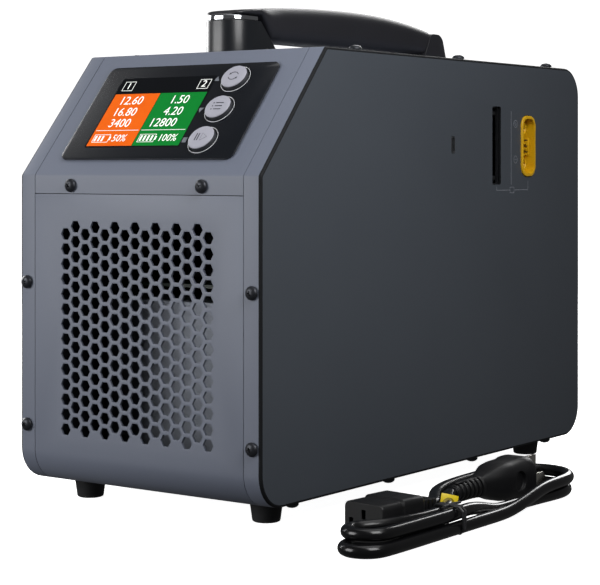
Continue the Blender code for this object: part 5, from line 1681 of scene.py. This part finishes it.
        thin = self.thin_line
        inked = [stroke(-18.4 * MM, -1.1 * MM, 0.5 * MM, 39.2 * MM)]
        pole_y, pole_size, inner, outer = -13.6 * MM, 2.2 * MM, 1.75 * MM, 2.1 * MM
        for z, plus in ((11.8 * MM, True), (-7.3 * MM, False)):
            ring = spun([(inner, 0), (outer, 0), (outer, self.ink), (inner, self.ink), (inner, 0)], 32)
            inked.append(placed(ring, shift(pole_y, z)))
            inked.append(stroke(pole_y, z, pole_size, thin))
            if plus:
                inked.append(stroke(pole_y, z, thin, pole_size))
        foot, line = -23.6 * MM, 0.4 * MM
        span = balance.y - power.y
        box_y, box_long, box_tall = -17.5 * MM, 4.2 * MM, 3 * MM
        far, near = box_y - box_long / 2, box_y + box_long / 2
        inked += [stroke(span, foot + 0.9 * MM, line, 1.8 * MM), stroke(0, foot + 2.4 * MM, line, 4.8 * MM),
                  stroke((span + far) / 2, foot, far - span, line), stroke(near / 2, foot, -near, line)]
        for edge in (-1, 1):
            inked.append(stroke(box_y, foot + edge * box_tall / 2, box_long, thin))
            inked.append(stroke(box_y + edge * box_long / 2, foot, thin, box_tall + 0.2 * MM))
        make_piece(f"port_marks_{side}", placed(joined(inked), place), GREY_INK)


@dataclass
class MainsInlet:
    """The appliance inlet in the rear panel: flange, shroud, recess and three pins."""

    case: Case
    flange: Point = (50 * MM, 24 * MM)
    body: Point = (28 * MM, 20 * MM)
    recess: float = 15 * MM
    depth: float = 19 * MM
    top: float = 2.5 * MM
    screw_at: float = 20 * MM

    def build(self) -> None:
        """Build the moulding, the pins and the two flange screws."""
        centre = centre_of("mains_inlet")
        place = self.case.rear_place(centre.x, centre.z)
        gap, top = self.case.gap, self.top
        wide, tall = self.body
        moulding = plate(*self.flange, 2 * MM, gap, top, 8, 0.6 * MM)
        shroud = plate(wide, tall, 2 * MM, -self.depth, gap + 0.5 * MM)
        mouth = plate(wide - 3.6 * MM, tall - 3.6 * MM, 2 * MM, top - self.recess, top + MM)
        hole = [(0, 0), (1.9 * MM, 0), (1.9 * MM, top - 1.0 * MM), (3.4 * MM, top + MM), (0, top + MM)]
        holes = [placed(spun(hole, 28), shift(sign * self.screw_at)) for sign in (-1, 1)]
        moulding = carve(moulding, joined([mouth.copy(), *holes]))
        shroud = carve(shroud, mouth)
        make_piece("inlet_moulding", placed(joined([moulding, shroud]), place), BLACK_NYLON,
                   nodes=["mains_inlet"])
        floor = top - self.recess
        pins = []
        for x, y in ((-7 * MM, -2 * MM), (7 * MM, -2 * MM), (0, 2.5 * MM)):
            pin = block((2 * MM, 4 * MM, 10.5 * MM), (x, y, floor + 5.2 * MM))
            tips = [e for e in pin.edges if all(v.co.z > floor + 9 * MM for v in e.verts)]
            pins.append(soften(pin, 0.7 * MM, 3, tips))
        make_piece("inlet_pins", placed(joined(pins), place), NICKEL)
        screws = []
        for sign in (-1, 1):
            head = spun([(0, 0.9 * MM), (1.7 * MM, 0.9 * MM), (3.1 * MM, 2.3 * MM), (3.1 * MM, 2.4 * MM),
                         (0, 2.4 * MM)], 28)
            for k in range(2):
                slot = block((3 * MM, 0.8 * MM, 1.2 * MM), (0, 0, 2.4 * MM))
                head = carve(head, placed(slot, turn(90 * k + 30, "Z")))
            screws.append(placed(head, shift(sign * self.screw_at)))
        make_piece("inlet_screws", placed(joined(screws), place), BLACK_OXIDE)


@dataclass
class Inside:
    """What shows through the grilles: the supply's case, boards and heatsink."""

    def build(self) -> None:
        """Dress the inner pieces."""
        dress("power_supply_case", ZINC_SHEET)
        dress("supply_board", CIRCUIT)
        dress("charge_board", CIRCUIT)
        dress("heatsink", ALUMINIUM)


# ---------------------------------------------------------------- studio

@dataclass
class Studio:
    """A pale sweep, soft boxes and the camera."""

    floor_size: float = 6.0
    sweep_start: float = 1.4
    sweep_radius: float = 0.8
    camera_at: Point3 = (0.5502, -0.7823, 0.1614)
    camera_turn: float = 35.84
    focal_mm: float = 109.22
    shift_up: float = -0.2114
    world: float = 0.08
    backdrop: float = 1.06

    def build(self) -> None:
        """Build the floor, the lights and the camera."""
        self.build_floor()
        self.build_world()
        for name, at, aim, size, power in (
                ("key", (-0.45, -0.83, 0.3), (0, -0.12, 0.13), (0.5, 0.5), 5.3),
                ("side", (0.42, -0.2, 0.42), (0.07, -0.05, 0.12), (0.3, 0.3), 2.2),
                ("top", (0.1, 0.2, 1.6), (0, 0, 0.1), (1.4, 1.4), 7.0),
                ("left", (-1.1, 0.15, 0.45), (-0.07, 0, 0.12), (0.6, 0.6), 9.0),
                ("rear", (-0.35, 1.1, 0.6), (0, 0.1, 0.12), (0.7, 0.7), 10.0)):
            self.build_light(name, Vector(at), Vector(aim), size, power)
        self.build_camera()

    def build_floor(self) -> None:
        """Build the floor and the sweep that rises from it far behind the object."""
        half, back, bend = self.floor_size / 2, self.sweep_start, self.sweep_radius
        steps = 12
        path = [(-half, 0.0), (back, 0.0)]
        for k in range(1, steps + 1):
            angle = math.pi / 2 * k / steps
            path.append((back + bend * math.sin(angle), bend * (1 - math.cos(angle))))
        path.append((back + bend, bend + half))
        bm = bmesh.new()
        verts = [bm.verts.new((-half, y, z)) for y, z in path]
        pull_edges(bm, [bm.edges.new(pair) for pair in zip(verts, verts[1:])], (2 * half, 0, 0))
        bmesh.ops.recalc_face_normals(bm, faces=bm.faces)
        placed(bm, turn(self.camera_turn, "Z"))
        mesh = bpy.data.meshes.new("floor")
        bm.to_mesh(mesh)
        bm.free()
        mesh.materials.append(FLOOR_PAINT.build())
        floor = bpy.data.objects.new("floor", mesh)
        floor.visible_diffuse = False
        floor.visible_glossy = False
        bpy.context.scene.collection.objects.link(floor)

    def build_world(self) -> None:
        """Light the scene faintly from all round, and show white where a view goes past the floor."""
        world = bpy.data.worlds.new("studio")
        world.use_nodes = True
        tree = world.node_tree
        seen = add_node(tree, "ShaderNodeLightPath").outputs["Is Camera Ray"]
        strength = add_node(tree, "ShaderNodeMapRange",
                            {"Value": seen, "To Min": self.world, "To Max": self.backdrop})
        background = tree.nodes["Background"]
        background.inputs["Color"].default_value = (1, 1, 1, 1)
        tree.links.new(strength.outputs["Result"], background.inputs["Strength"])
        bpy.context.scene.world = world
        bpy.context.scene.view_settings.view_transform = "Standard"

    def build_light(self, name: str, at: Vector, aim: Vector, size: Point, power: float) -> None:
        """Add one soft box that points at a place."""
        data = bpy.data.lights.new(name, "AREA")
        data.shape = "RECTANGLE"
        data.size, data.size_y = size
        data.energy = power
        light = bpy.data.objects.new(name, data)
        light.location = at
        light.rotation_euler = (aim - at).to_track_quat("-Z", "Y").to_euler()
        bpy.context.scene.collection.objects.link(light)

    def build_camera(self) -> None:
        """Add the camera at eye level with the slope, its axis level so that uprights stay upright."""
        data = bpy.data.cameras.new("camera")
        data.sensor_width = 36.0
        data.lens = self.focal_mm
        data.shift_y = self.shift_up
        data.clip_end = 50.0
        camera = bpy.data.objects.new("camera", data)
        camera.location = self.camera_at
        camera.rotation_euler = (math.radians(90), 0, math.radians(self.camera_turn))
        bpy.context.scene.collection.objects.link(camera)
        bpy.context.scene.camera = camera


def main() -> None:
    """Build the object's looks, then the studio."""
    case = Case.of_frame()
    assemblies = [MainsLead(), CaseShells(case), Fasteners(case), Console(case), Handle(case),
                  SidePorts(case), MainsInlet(case), Fans(), Inside()]
    for assembly in assemblies:
        assembly.build()
    Studio().build()


if __name__ == "__main__":
    main()
